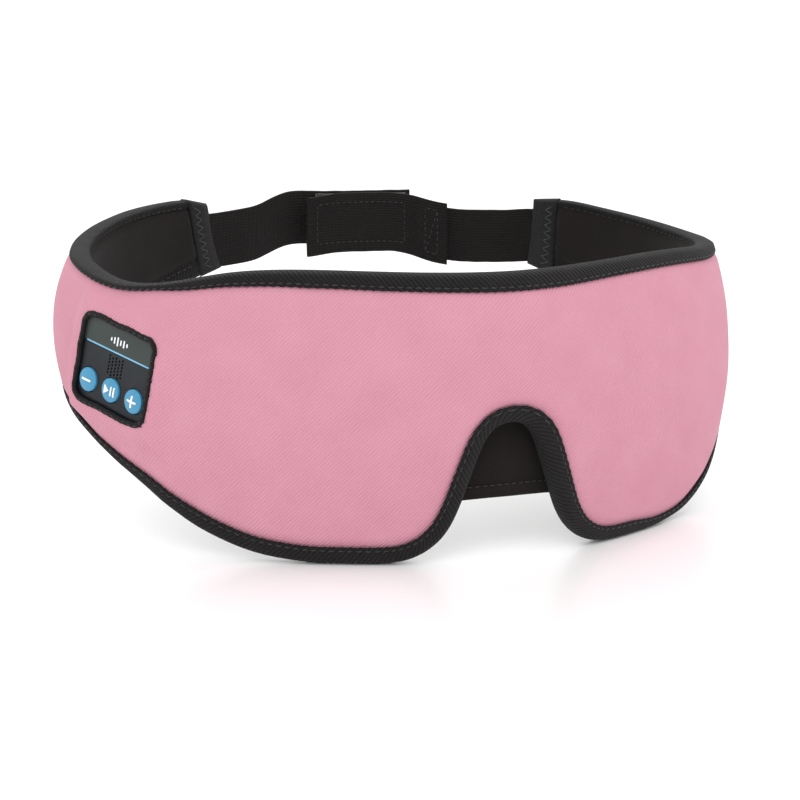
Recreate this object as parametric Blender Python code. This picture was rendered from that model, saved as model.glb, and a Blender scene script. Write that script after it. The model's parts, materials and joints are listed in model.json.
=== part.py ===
"""Soft audio sleep mask: a padded wrap-around shell, a control module on the
wearer's right temple, a flat speaker at each ear and an elastic head strap
that closes at the back with hook and loop.

Metres, +Z up. The origin is on the upright axis of the head opening, 36.3 mm
above the underside of the cheek lobes. The wearer looks along -Y, so the
wearer's right side is -X. Most shapes are laid out on the shell's outer skin:
s runs round the head from the middle of the front (positive towards +X),
z runs up, and depth is measured inwards from the skin.
"""

import math

import bmesh
import bpy
import numpy as np
from mathutils import Matrix, Vector

MM = 0.001
GAP = 0.3 * MM  # clear space kept between neighbouring solids

# ---- driving dimensions of the shell ------------------------------------
# distance from the opening's axis by the angle from straight ahead, in degrees and millimetres
PLAN_RADII = {0: 80.8, 25: 80.8, 50: 89.1, 75: 105.4, 100: 114.4, 125: 108.6, 150: 98.3, 180: 90.0}
# (s, z) points of the two edges, in millimetres; the tails end at the hems of the wings
TOP_EDGE = [(0, 53.2), (42, 53.8), (73, 54.0)]
TOP_TAIL_RIGHT = [  # dips over the control panel
    (88, 52.7), (103, 49.9), (117, 47.9), (130, 47.6), (143, 49.2), (160, 51.8), (180, 54.4), (203.5, 58.0),
    (226.5, 61.2), (245, 62.6), (257, 62.2), (262.6, 60.6),
]
TOP_TAIL_LEFT = [
    (108.6, 52.2), (125, 51.7), (140, 51.6), (158, 52.0), (180, 54.2), (203.5, 57.5), (217, 59.3), (229.0, 59.0),
]
LOBE_EDGE = [
    (0, 7.2), (4.5, 6.0), (8.0, 2.2), (10.4, -3.2), (12.5, -9.0), (14.6, -15.0), (17.2, -21.6), (21.0, -28.0),
    (26.2, -32.6), (33, -35.5), (41, -36.3), (52, -36.3), (62, -36.1), (71, -35.1), (79, -33.6), (86, -31.4),
    (92.5, -28.8), (98.5, -26.0), (104, -22.9), (109, -19.9), (114, -16.4), (120, -12.8), (126, -9.6),
    (133.8, -5.6), (142, -2.0),
]
LOWER_TAIL_RIGHT = [(160, 4.6), (190, 14.2), (225, 24.6), (255, 33.2), (268.8, 37.0)]
LOWER_TAIL_LEFT = [(160, 5.2), (185, 15.0), (210, 26.0), (231.5, 34.4)]
RIM_THICKNESS = 6.0 * MM
CROWN = 4.8 * MM  # outward bulge at mid height
INNER_CROWN = 1.2 * MM  # inward bulge at mid height
LEAN = 4.0 * MM  # the lower edge stands this much further out than the upper one
WING_FADE_FROM = 175 * MM
WING_FADE_TO = 262 * MM
WING_CROWN_SHARE = 0.15

CLOTH = 0.6 * MM
BINDING_WIDTH = 6.8 * MM
BINDING_CLOTH = 0.8 * MM
COVER_AT_RIM = 1.25 * MM  # depths of the layers inside the folded binding
FOAM_AT_RIM = 2.2 * MM
FOAM_RIM_THICKNESS = 1.6 * MM
LINING_AT_RIM = 4.15 * MM
HEM_WIDTH = 10.2 * MM
HEM_CLEAR = 11.0 * MM
EDGE_INSET = 2.2 * MM
RIM_ROW = 7.1 * MM
BODY_ROW = 9.6 * MM

# ---- eye cups and nose flap ----------------------------------------------
EYE_S = 33 * MM
EYE_Z = 12 * MM
EYE_HALF_WIDTH = 21 * MM
EYE_HALF_HEIGHT = 17 * MM
EYE_DEPTH = 7.0 * MM
EYE_CUP_CLOTH = 0.9 * MM
FLAP_TOP_Z = 12.0 * MM
FLAP_BOTTOM_Z = -18.8 * MM
FLAP_TOP_HALF = 10.0 * MM
FLAP_BOTTOM_HALF = 20.5 * MM
FLAP_CLOTH = 1.0 * MM

# ---- control panel ---------------------------------------------------------
PANEL_S = -124.3 * MM
PANEL_Z = 21.2 * MM
PANEL_TILT = math.radians(-12.0)  # front side lower
PANEL_SINK = 1.0 * MM
BORDER_WIDTH = 34.2 * MM
BORDER_HEIGHT = 29.4 * MM
BORDER_BAND = 1.7 * MM
MODULE_WIDTH = 33.2 * MM
MODULE_HEIGHT = 28.4 * MM
FACE_THICKNESS = 1.2 * MM
TRAY_WALL = 1.0 * MM
TRAY_FLOOR = -7.4 * MM
BUTTON_RADIUS = 3.9 * MM
BUTTON_PITCH = 10.8 * MM
BUTTON_ROW = -7.0 * MM
ACCENT_ROW = 5.2 * MM
ACCENT_LENGTH = 29.0 * MM
GRILLE_COLUMNS = 5
GRILLE_ROWS = 6

# ---- speakers -------------------------------------------------------------
SPEAKER_S = 163 * MM
SPEAKER_Z = 29.2 * MM
SPEAKER_DEPTH = 3.8 * MM  # of the housing's outer face, below the skin
SPEAKER_RADIUS = 12.0 * MM
SPEAKER_HEIGHT = 5.6 * MM
LEAD_RADIUS = 0.7 * MM

# ---- head strap -------------------------------------------------------------
STRAP_WIDTH = 20.5 * MM
TAB_WIDTH = 24.0 * MM
STRAP_CLOTH = 1.3 * MM
PATCH_CLOTH = 0.8 * MM
JOINT_GAP = 0.9 * MM
# distance along the back from its middle (+ towards +X): height of the strap's middle
RIGHT_STRAP_HEIGHTS = [
    (-43, 47.2), (-33, 48.2), (-27, 49.3), (-20.5, 51.6), (-14, 52.9), (-7, 52.4), (2, 51.9), (35, 51.4),
]
LEFT_STRAP_HEIGHTS = [
    (-8.5, 51.2), (4, 51.6), (16, 51.5), (28, 51.0), (34, 49.8), (40, 47.6), (46, 46.0), (52, 45.1),
    (58, 44.7), (70, 44.7), (81, 45.0),
]
OVERLAP_LOW = -8.0 * MM
OVERLAP_HIGH = 35.0 * MM

PINK = (0.80, 0.36, 0.46)
BLACK = (0.014, 0.013, 0.014)
LINING_BLACK = (0.010, 0.008, 0.009)
PLATE = (0.018, 0.028, 0.036)
BLUE = (0.045, 0.30, 0.66)
WHITE = (0.86, 0.88, 0.90)


# ---- small tools ------------------------------------------------------------
def spline(places, values, closed=False):
    """A cubic curve through the values with no jump in curvature. Returns f(t)."""
    t, v = np.array(places, float), np.array(values, float)
    if v.ndim == 1:
        v = v[:, None]
    h, n = np.diff(t), len(t)
    rows, right = np.zeros((n, n)), np.zeros((n, v.shape[1]))
    slope = np.diff(v, axis=0) / h[:, None]
    for i in range(1, n - 1):
        rows[i, i - 1 : i + 2] = h[i - 1], 2 * (h[i - 1] + h[i]), h[i]
        right[i] = 6 * (slope[i] - slope[i - 1])
    if closed:
        rows[0, 0], rows[0, -1] = 1, -1
        rows[-1, [0, 1, -2]] = 2 * (h[-1] + h[0]), h[0], h[-1]
        right[-1] = 6 * (slope[0] - slope[-1])
    else:
        rows[0, 0] = rows[-1, -1] = 1
    bend = np.linalg.solve(rows, right)

    def at(x):
        x = np.atleast_1d(np.asarray(x, float))
        i = np.clip(np.searchsorted(t, x) - 1, 0, n - 2)
        a, b = (t[i + 1] - x)[:, None], (x - t[i])[:, None]
        step = h[i][:, None]
        curve = (bend[i] * a**3 + bend[i + 1] * b**3) / (6 * step)
        line = (v[i] / step - bend[i] * step / 6) * a + (v[i + 1] / step - bend[i + 1] * step / 6) * b
        return curve + line

    return at


def smooth_step(x, low, high):
    t = min(max((x - low) / (high - low), 0.0), 1.0)
    return t * t * (3 - 2 * t)


class Path:
    """A smooth open curve in (s, z) through hand-chosen points, read by its length or by s."""

    def __init__(self, points_mm):
        points = np.array(points_mm, float) * MM
        chord = np.r_[0, np.cumsum(np.linalg.norm(np.diff(points, axis=0), axis=1))]
        curve = spline(chord, points)
        self.fine = curve(np.linspace(0, chord[-1], 1500))
        self.along = np.r_[0, np.cumsum(np.linalg.norm(np.diff(self.fine, axis=0), axis=1))]

    def length_at(self, s):
        return float(np.interp(s, self.fine[:, 0], self.along))

    def z_at(self, s):
        return float(np.interp(s, self.fine[:, 0], self.fine[:, 1]))

    def point(self, length):
        return np.array([np.interp(length, self.along, self.fine[:, k]) for k in (0, 1)])

    def inset(self, length, distance):
        """The point this far to the left of the curve, seen in its running direction."""
        step = self.point(length + 0.4 * MM) - self.point(length - 0.4 * MM)
        step /= np.linalg.norm(step)
        return self.point(length) + distance * np.array([-step[1], step[0]])


def mirrored(points):
    return [(-s, z) for s, z in reversed(points) if s > 0]


# ---- the shell's skin ----------------------------------------------------------
degrees = [-a for a in reversed(PLAN_RADII) if 0 < a] + list(PLAN_RADII)
radii = [PLAN_RADII[abs(a)] * MM for a in degrees]
plan_radius = spline(np.radians(degrees), radii, closed=True)
plan_angles = np.radians(np.linspace(-180, 180, 2881))
plan_r = plan_radius(plan_angles)[:, 0]
PLAN = np.stack([plan_r * np.sin(plan_angles), -plan_r * np.cos(plan_angles)], axis=1)
PLAN_S = np.r_[0, np.cumsum(np.linalg.norm(np.diff(PLAN, axis=0), axis=1))]
PLAN_S -= np.interp(0, plan_angles, PLAN_S)
HALF_LOOP = float(PLAN_S[-1])


def plan_point(s):
    s = (s + HALF_LOOP) % (2 * HALF_LOOP) - HALF_LOOP
    return np.array([np.interp(s, PLAN_S, PLAN[:, k]) for k in (0, 1)])


def plan_normal(s):
    step = plan_point(s + 1.5 * MM) - plan_point(s - 1.5 * MM)
    return np.array([step[1], -step[0]]) / np.linalg.norm(step)


TOP = Path(mirrored(TOP_EDGE + TOP_TAIL_RIGHT) + TOP_EDGE + TOP_TAIL_LEFT)
LOWER = Path(mirrored(LOBE_EDGE + LOWER_TAIL_RIGHT) + LOBE_EDGE + LOWER_TAIL_LEFT)


def height_share(s, z):
    low, high = LOWER.z_at(s), TOP.z_at(s)
    return min(max((z - low) / (high - low), 0.0), 1.0)


def wing_share(s):
    return 1 - (1 - WING_CROWN_SHARE) * smooth_step(abs(s), WING_FADE_FROM, WING_FADE_TO)


def free_skin(s, z):
    """How far the outer skin stands outside the plan curve."""
    v = height_share(s, z)
    return wing_share(s) * (CROWN * 4 * v * (1 - v) + LEAN * (1 - v))


def at_offset(s, z, offset):
    x, y = plan_point(s) + plan_normal(s) * offset
    return Vector((x, y, z))


def panel_matrix():
    """The control panel's frame: x to the front of the mask, y up, z outwards; 0 at the plate's face."""
    n = plan_normal(PANEL_S)
    outward = Vector((n[0], n[1], LEAN / (TOP.z_at(PANEL_S) - LOWER.z_at(PANEL_S)))).normalized()
    level = Vector((-n[1], n[0], 0)).normalized()
    up = outward.cross(level)
    across = math.cos(PANEL_TILT) * level + math.sin(PANEL_TILT) * up
    up = outward.cross(across)
    centre = at_offset(PANEL_S, PANEL_Z, free_skin(PANEL_S, PANEL_Z)) - outward * PANEL_SINK
    matrix = Matrix((across, up, outward)).transposed().to_4x4()
    matrix.translation = centre
    return matrix


PANEL = panel_matrix()
TO_PANEL = PANEL.inverted()


def skin(s, z):
    """free_skin, drawn flat around the control panel."""
    offset = free_skin(s, z)
    local = TO_PANEL @ at_offset(s, z, offset)
    if abs(s - PANEL_S) > 40 * MM:
        return offset
    beyond = max(abs(local.x) - BORDER_WIDTH / 2, abs(local.y) - BORDER_HEIGHT / 2)
    share = 1 - smooth_step(beyond, 0, 4.0 * MM)
    lift = 0.7 * MM - local.z
    n = plan_normal(s)
    return offset + share * lift / Vector((n[0], n[1], 0)).dot(PANEL.col[2].to_3d())


def thickness(s, z):
    v = height_share(s, z)
    return RIM_THICKNESS + wing_share(s) * (CROWN + INNER_CROWN) * 4 * v * (1 - v)


def below_skin(s, z, depth):
    return at_offset(s, z, skin(s, z) - depth)


# ---- making objects --------------------------------------------------------------
def material(name, colour, roughness, metallic=0.0):
    made = bpy.data.materials.get(name) or bpy.data.materials.new(name)
    made.use_nodes = True
    shader = made.node_tree.nodes["Principled BSDF"]
    shader.inputs["Base Color"].default_value = (*colour, 1)
    shader.inputs["Roughness"].default_value = roughness
    shader.inputs["Metallic"].default_value = metallic
    return made


def add_object(name, bm, look=None, origin=(0, 0, 0), matrix=None):
    """Turns a bmesh in world places (or in a given frame) into an object with its origin at a point."""
    bmesh.ops.recalc_face_normals(bm, faces=bm.faces)
    if matrix is not None:
        bmesh.ops.transform(bm, matrix=matrix, verts=bm.verts)
    bmesh.ops.translate(bm, vec=-Vector(origin), verts=bm.verts)
    mesh = bpy.data.meshes.new(name)
    bm.to_mesh(mesh)
    bm.free()
    made = bpy.data.objects.new(name, mesh)
    made.location = origin
    bpy.context.scene.collection.objects.link(made)
    if look:
        mesh.materials.append(look)
        mesh.shade_smooth()
        mesh.set_sharp_from_angle(angle=math.radians(35))
    return made


def loft(rings, cap_faces=None):
    """A closed body through equal rings of points. An end is a flat cap, or the given faces of its ring."""
    bm = bmesh.new()
    made = [[bm.verts.new(p) for p in ring] for ring in rings]
    count = len(made[0])
    for one, two in zip(made, made[1:]):
        for i in range(count):
            j = (i + 1) % count
            bm.faces.new((one[i], one[j], two[j], two[i]))
    for ring in (made[0], made[-1]):
        if cap_faces:
            for face in cap_faces:
                bm.faces.new([ring[i] for i in face])
        else:
            bmesh.ops.triangulate(bm, faces=[bm.faces.new(ring)])
    return bm


def slab(outer, inner):
    """A closed body between two equal grids of points."""
    bm = bmesh.new()
    sides = [[[bm.verts.new(p) for p in line] for line in grid] for grid in (outer, inner)]
    lines, count = len(outer), len(outer[0])
    for grid in sides:
        for i in range(lines - 1):
            for j in range(count - 1):
                bm.faces.new((grid[i][j], grid[i + 1][j], grid[i + 1][j + 1]))
                bm.faces.new((grid[i][j], grid[i + 1][j + 1], grid[i][j + 1]))
    rim = [(i, 0) for i in range(lines)] + [(lines - 1, j) for j in range(1, count)]
    rim += [(i, count - 1) for i in range(lines - 2, -1, -1)] + [(0, j) for j in range(count - 2, 0, -1)]
    for (a, b), (c, d) in zip(rim, rim[1:] + rim[:1]):
        bm.faces.new((sides[0][a][b], sides[0][c][d], sides[1][c][d], sides[1][a][b]))
    return bm


def prism(outline, low, high):
    return loft([[(x, y, z) for x, y in outline] for z in (low, high)])


def rounded_rectangle(width, height, radius, centre=(0, 0), corner_steps=4):
    points = []
    for k, (sx, sy) in enumerate(((1, 1), (-1, 1), (-1, -1), (1, -1))):
        cx = centre[0] + sx * (width / 2 - radius)
        cy = centre[1] + sy * (height / 2 - radius)
        for i in range(corner_steps + 1):
            a = math.pi / 2 * (k + i / corner_steps)
            points.append((cx + radius * math.cos(a), cy + radius * math.sin(a)))
    return points


def circle(radius, centre=(0, 0), count=24):
    angles = [2 * math.pi * i / count for i in range(count)]
    return [(centre[0] + radius * math.cos(a), centre[1] + radius * math.sin(a)) for a in angles]


def turned(profile, count=24, centre=(0, 0)):
    """A round body from (radius, z) pairs, flat at both ends."""
    return loft([[(x, y, z) for x, y in circle(r, centre, count)] for r, z in profile])


def merged(bodies):
    """Several separate bodies in one bmesh."""
    together = bmesh.new()
    for body in bodies:
        mesh = bpy.data.meshes.new("piece")
        body.to_mesh(mesh)
        body.free()
        together.from_mesh(mesh)
        bpy.data.meshes.remove(mesh)
    return together


def cut(target, name, bm, matrix=None, operation="DIFFERENCE"):
    """Cuts a hidden guide body out of an object."""
    guide = add_object(name, bm, matrix=matrix)
    guide.hide_render = True
    guide.display_type = "WIRE"
    boolean = target.modifiers.new(name, "BOOLEAN")
    boolean.operation = operation
    boolean.solver = "EXACT"
    boolean.object = guide


# ---- the padded shell ---------------------------------------------------------------
def columns():
    """Pairs of places, along the lower edge and along the top edge, that each column of the shell joins."""
    near, front_steps, wing_step = 60 * MM, 13, 12 * MM
    start, middle, end = (LOWER.length_at(s) for s in (-near, 0, near))
    pairs = []
    for i in range(-front_steps, front_steps + 1):
        share = math.copysign(abs(i / front_steps) ** 1.2, i)
        low = middle + share * ((end - middle) if share > 0 else (middle - start))
        pairs.append((low, TOP.length_at(share * near)))
    for side, path_end in ((1, 1), (-1, 0)):
        low_end, top_end = (p.fine[-1 if path_end else 0, 0] for p in (LOWER, TOP))
        insets = (13.5 * MM, HEM_CLEAR, EDGE_INSET)
        low_last, top_last = abs(low_end) - insets[0], abs(top_end) - insets[0]
        count = round((low_last - near) / wing_step)
        rows = []
        for k in range(1, count + 1):
            share = k / count
            low_s, top_s = near + share * (low_last - near), near + share * (top_last - near)
            rows.append((low_s, top_s))
        rows += [(abs(low_end) - d, abs(top_end) - d) for d in insets[1:]]
        rows = [(LOWER.length_at(side * a), TOP.length_at(side * b)) for a, b in rows]
        pairs = pairs + rows if side > 0 else rows[::-1] + pairs
    return pairs


COLUMNS = columns()
MIDDLE_SHARES = (0.25, 0.5, 0.75)


def shell_points(top_inset=EDGE_INSET):
    """The (s, z) grid that the cover, the foam and the lining share."""
    grid = []
    for low, top in COLUMNS:
        line = [LOWER.inset(low, d) for d in (EDGE_INSET, RIM_ROW, BODY_ROW)]
        upper = [TOP.inset(top, -d) for d in (BODY_ROW, RIM_ROW, top_inset)]
        line += [line[-1] + share * (upper[0] - line[-1]) for share in MIDDLE_SHARES]
        grid.append(line + upper)
    return grid


def layer(grid, columns_used, rim_depth, body_depth):
    """One face of a layer: its depth at the bound rim, and in the body as a function of place."""
    face = []
    for i in columns_used:
        line = []
        for j, (s, z) in enumerate(grid[i]):
            at_rim = j in (0, 1, 7, 8) or i in (0, 1, len(grid) - 2, len(grid) - 1)
            line.append(below_skin(s, z, rim_depth if at_rim else body_depth(s, z)))
        face.append(line)
    return face


def build_shell(looks):
    grid = shell_points()
    every = range(len(grid))
    cover = slab(
        layer(grid, every, COVER_AT_RIM, lambda s, z: 0),
        layer(grid, every, COVER_AT_RIM + CLOTH, lambda s, z: CLOTH),
    )
    cover = add_object("outer_cover", cover, looks["pink twill"])
    foam_grid = shell_points(top_inset=5.4 * MM)
    inside = range(1, len(grid) - 1)
    foam = slab(
        layer(foam_grid, inside, FOAM_AT_RIM, lambda s, z: CLOTH + GAP),
        layer(foam_grid, inside, FOAM_AT_RIM + FOAM_RIM_THICKNESS, lambda s, z: thickness(s, z) - CLOTH - GAP),
    )
    foam = add_object("foam_core", foam, looks["foam"])
    lining = slab(
        layer(grid, every, LINING_AT_RIM, lambda s, z: thickness(s, z) - CLOTH),
        layer(grid, every, LINING_AT_RIM + CLOTH, thickness),
    )
    lining = add_object("inner_lining", lining, looks["black lining"])
    return cover, foam, lining


def folded_tape(stations):
    """A tape folded over an edge. Each station gives, for a distance in from the edge, its (s, z)."""
    near = BINDING_CLOTH + 0.1 * MM
    rings = []
    for place, width in stations:
        section = [(width, 0), (0, 0), (0, RIM_THICKNESS), (width, RIM_THICKNESS)]
        section += [(width, RIM_THICKNESS - BINDING_CLOTH), (near, RIM_THICKNESS - BINDING_CLOTH)]
        section += [(near, BINDING_CLOTH), (width, BINDING_CLOTH)]
        rings.append([below_skin(*place(distance), depth) for distance, depth in section])
    return loft(rings, cap_faces=((0, 1, 6, 7), (1, 2, 5, 6), (2, 3, 4, 5)))


def build_bindings(looks):
    bound = COLUMNS[1:-1]
    lower = [(lambda d, low=low: LOWER.inset(low, d), BINDING_WIDTH) for low, _ in bound]
    upper = [(lambda d, top=top: TOP.inset(top, -d), BINDING_WIDTH) for _, top in bound]
    add_object("bottom_binding", folded_tape(lower), looks["black tape"])
    add_object("top_binding", folded_tape(upper), looks["black tape"])
    for name, side, end in (("right_wing_hem", -1, 0), ("left_wing_hem", 1, -1)):
        low, top = LOWER.fine[end], TOP.fine[end]
        low_in, top_in = (p.point(p.length_at(p.fine[end, 0] - side * HEM_WIDTH)) for p in (LOWER, TOP))
        stations = []
        for share in (0, 0.33, 0.67, 1):
            edge, inner = low + share * (top - low), low_in + share * (top_in - low_in)
            stations.append((lambda d, a=edge, b=inner: a + (b - a) * d / HEM_WIDTH, HEM_WIDTH))
        add_object(name, folded_tape(stations), looks["black tape"])


# ---- eye cups and nose flap ---------------------------------------------------------
def eye_ring(side, share, depth, grow=0.0, count=20):
    points = []
    for i in range(count):
        a = 2 * math.pi * i / count
        s = side * EYE_S + (EYE_HALF_WIDTH * share + grow) * math.cos(a)
        z = EYE_Z + (EYE_HALF_HEIGHT * share + grow) * math.sin(a)
        points.append(below_skin(s, z, depth(s, z)))
    return points


def build_eye_cup(name, side, foam, lining, look):
    """A moulded bowl let into the lining and the foam, open towards the eye."""
    stages = [(1.0, 0.0), (0.93, 0.45), (0.78, 0.82), (0.5, 0.98), (0.15, 1.0)]

    def wall(extra, grow):
        return [
            eye_ring(side, share, lambda s, z, sink=sink: thickness(s, z) - sink * EYE_DEPTH - extra, grow)
            for share, sink in stages
        ]

    outer, inner = wall(EYE_CUP_CLOTH, 0.4 * MM), wall(0, -0.4 * MM)
    add_object(name, loft(inner[::-1] + outer), look)
    pocket = wall(EYE_CUP_CLOTH + 0.4 * MM, 0.9 * MM)
    mouth = eye_ring(side, 1.0, lambda s, z: thickness(s, z) + 4 * MM, 0.9 * MM)
    for target in (foam, lining):
        cut(target, f"{name}_pocket_in_{target.name}", loft([mouth] + pocket))


def build_nose_flap(look):
    """A soft light-blocking flap behind the nose notch, hinged along its top seam."""
    hinge_depth = RIM_THICKNESS + 1.9 * MM
    base = free_skin(0, LOWER.z_at(0)) - hinge_depth
    faces = []
    for extra in (0, FLAP_CLOTH):
        grid = []
        for share in (0, 0.3, 0.65, 1):
            z = FLAP_TOP_Z + share * (FLAP_BOTTOM_Z - FLAP_TOP_Z)
            half = FLAP_TOP_HALF + share * (FLAP_BOTTOM_HALF - FLAP_TOP_HALF)
            grid.append([at_offset(half * k / 4, z, base - extra) for k in range(-4, 5)])
        faces.append(grid)
    hinge = at_offset(0, FLAP_TOP_Z, base - FLAP_CLOTH / 2)
    add_object("nose_flap", slab(*faces), look, origin=hinge)


# ---- control module -----------------------------------------------------------------
def on_panel(name, bm, look, centre=(0, 0, 0)):
    """Places a body drawn in the panel's frame, with its origin at a point of that frame."""
    bmesh.ops.translate(bm, vec=-Vector(centre), verts=bm.verts)
    made = add_object(name, bm, look)
    made.matrix_world = PANEL @ Matrix.Translation(Vector(centre))
    return made


def button_centre(k):
    return (k * BUTTON_PITCH, BUTTON_ROW)


def icon_outlines(k):
    """The white signs, centred on 0: minus, play-pause and plus."""
    long, thin = 2.1 * MM, 0.42 * MM
    bar = [(-long, -thin), (long, -thin), (long, thin), (-long, thin)]
    if k < 0:
        return [bar]
    if k > 0:
        return [bar, [(thin, -long), (thin, long), (-thin, long), (-thin, -long)]]
    triangle = [(-2.2 * MM, -1.6 * MM), (0.2 * MM, 0), (-2.2 * MM, 1.6 * MM)]
    stroke = [(0.8 * MM, -1.6 * MM), (1.3 * MM, -1.6 * MM), (1.3 * MM, 1.6 * MM), (0.8 * MM, 1.6 * MM)]
    return [triangle, stroke, [(x + 1.2 * MM, y) for x, y in stroke]]


def grown(outline, by):
    """The outline with its sides moved outwards."""
    count, result = len(outline), []
    for i, point in enumerate(outline):
        before, here, after = (Vector(outline[j % count]) for j in (i - 1, i, i + 1))
        one, two = (here - before).normalized(), (after - here).normalized()
        out_one, out_two = Vector((one.y, -one.x)), Vector((two.y, -two.x))
        shift = (out_one + out_two) / (1 + out_one.dot(out_two))
        result.append(tuple(here + shift * by))
    return result


def build_button(k, name, icon_name, looks):
    x, y = button_centre(k)
    angles = np.radians((0, 25, 50, 75))
    dome = [(BUTTON_RADIUS * math.cos(a), 0.5 * MM + 0.7 * MM * math.sin(a)) for a in angles]
    low = -FACE_THICKNESS - 0.3 * MM
    cap = turned([(BUTTON_RADIUS, low)] + dome, centre=(x, y))
    seat = (x, y, low)
    button = on_panel(name, cap, looks["blue buttons"], seat)
    outlines = [[(px + x, py + y) for px, py in o] for o in icon_outlines(k)]
    for i, outline in enumerate(outlines):
        cut(button, f"{name}_sign_recess_{i}", prism(grown(outline, 0.12 * MM), 0.45 * MM, 3 * MM), PANEL)
    icon = on_panel(icon_name, prism(outlines[0], 0.6 * MM, 2 * MM), looks["white signs"], seat)
    if k == 0:
        web = rounded_rectangle(4.0 * MM, 0.5 * MM, 0.1 * MM, (x + 0.5 * MM, y), 1)
        cut(button, f"{name}_web_recess", prism(grown(web, 0.12 * MM), 0.45 * MM, 3 * MM), PANEL)
        cut(icon, f"{icon_name}_web", prism(web, 0.6 * MM, 0.8 * MM), PANEL, "UNION")
    for i, outline in enumerate(outlines[1:]):
        cut(icon, f"{icon_name}_stroke_{i}", prism(outline, 0.6 * MM, 2 * MM), PANEL, "UNION")
    shape = turned([(r, z + 0.06 * MM) for r, z in [(BUTTON_RADIUS, 0)] + dome], centre=(x, y))
    cut(icon, f"{icon_name}_dome", shape, PANEL, "INTERSECT")


def build_module(looks, cover, foam):
    border_outline = rounded_rectangle(BORDER_WIDTH, BORDER_HEIGHT, 4.5 * MM)
    opening = rounded_rectangle(BORDER_WIDTH - 2 * BORDER_BAND, BORDER_HEIGHT - 2 * BORDER_BAND, 3 * MM)
    border = on_panel("panel_border", prism(border_outline, GAP, 1.2 * MM), looks["black tape"])
    cut(border, "panel_border_opening", prism(opening, -1 * MM, 3 * MM), PANEL)

    module_outline = rounded_rectangle(MODULE_WIDTH, MODULE_HEIGHT, 4 * MM)
    face = on_panel("module_face", prism(module_outline, -FACE_THICKNESS, 0), looks["dark plate"])
    circles = [circle(BUTTON_RADIUS + 0.25 * MM, button_centre(k)) for k in (-1, 0, 1)]
    holes = [prism(outline, -2 * MM, 1 * MM) for outline in circles]
    cut(face, "module_face_button_holes", merged(holes), PANEL)
    holes = []
    for row in range(GRILLE_ROWS):
        for column in range(GRILLE_COLUMNS):
            x = (column - (GRILLE_COLUMNS - 1) / 2) * 1.5 * MM
            y = 0.8 * MM + ((GRILLE_ROWS - 1) / 2 - row - 0.5 * (column % 2)) * 1.1 * MM
            holes.append(prism(circle(0.38 * MM, (x, y), 6), -2 * MM, 1 * MM))
    cut(face, "module_face_grille", merged(holes), PANEL)
    groove = rounded_rectangle(ACCENT_LENGTH + 0.4 * MM, 0.9 * MM, 0.2 * MM, (0, ACCENT_ROW), 1)
    cut(face, "accent_groove", prism(groove, -0.5 * MM, 1 * MM), PANEL)
    strip = rounded_rectangle(ACCENT_LENGTH, 0.5 * MM, 0.1 * MM, (0, ACCENT_ROW), 1)
    on_panel("accent_strip", prism(strip, -0.3 * MM, 0.05 * MM), looks["light blue line"])

    tray = on_panel(
        "module_housing", prism(module_outline, TRAY_FLOOR, -FACE_THICKNESS - GAP), looks["black plastic"]
    )
    inside = rounded_rectangle(MODULE_WIDTH - 2 * TRAY_WALL, MODULE_HEIGHT - 2 * TRAY_WALL, 3 * MM)
    cut(tray, "module_housing_inside", prism(inside, TRAY_FLOOR + TRAY_WALL, 0), PANEL)
    socket_x, socket_y, socket_low, socket_high = -12.7 * MM, 4.5 * MM, -6.1 * MM, -3.7 * MM
    port = rounded_rectangle(4 * MM, 8.2 * MM, 0.3 * MM, (-16.1 * MM, socket_y), 1)
    cut(tray, "charge_port", prism(port, socket_low - 0.1 * MM, socket_high + 0.1 * MM), PANEL)

    board = rounded_rectangle(30.4 * MM, 25.6 * MM, 2.6 * MM)
    on_panel("circuit_board", prism(board, -3.4 * MM, -2.6 * MM), looks["board"])
    cell = rounded_rectangle(19 * MM, 20 * MM, 1.2 * MM, (4.3 * MM, 0))
    on_panel("battery", prism(cell, -6.1 * MM, -3.7 * MM), looks["battery wrap"])
    shell = rounded_rectangle(5.6 * MM, 7.6 * MM, 0.4 * MM, (socket_x, socket_y), 1)
    socket = on_panel("charge_socket", prism(shell, socket_low, socket_high), looks["bright metal"])
    mouth = rounded_rectangle(8 * MM, 6.8 * MM, 0.3 * MM, (socket_x - 2.2 * MM, socket_y), 1)
    cut(socket, "charge_socket_mouth", prism(mouth, socket_low + 0.4 * MM, socket_high - 0.4 * MM), PANEL)
    chip = rounded_rectangle(5 * MM, 5 * MM, 0.2 * MM, (9 * MM, 8.2 * MM), 1)
    on_panel("audio_chip", prism(chip, -2.4 * MM, -1.5 * MM), looks["black plastic"])
    capsule = circle(1.5 * MM, (2.6 * MM, 2.6 * MM), 16)
    on_panel("microphone", prism(capsule, -2.4 * MM, -1.6 * MM), looks["bright metal"])
    lamp = rounded_rectangle(1.6 * MM, 0.9 * MM, 0.1 * MM, (-1.8 * MM, 1.6 * MM), 1)
    on_panel("indicator_led", prism(lamp, -2.4 * MM, -1.8 * MM), looks["red lamp"])
    for k, name in ((-1, "minus_switch"), (0, "play_switch"), (1, "plus_switch")):
        profile = [(1.9 * MM, -2.45 * MM), (1.9 * MM, -2.35 * MM), (1.0 * MM, -2.15 * MM)]
        disc = turned(profile, 16, button_centre(k))
        on_panel(name, disc, looks["bright metal"])
    build_button(-1, "minus_button", "minus_icon", looks)
    build_button(0, "play_button", "play_pause_icon", looks)
    build_button(1, "plus_button", "plus_icon", looks)

    window = rounded_rectangle(BORDER_WIDTH + 2 * GAP, BORDER_HEIGHT + 2 * GAP, 4.8 * MM)
    cut(cover, "panel_window", prism(window, -5 * MM, 6 * MM), PANEL)
    cut(foam, "module_pocket", prism(window, TRAY_FLOOR - 0.4 * MM, 6 * MM), PANEL)


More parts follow.
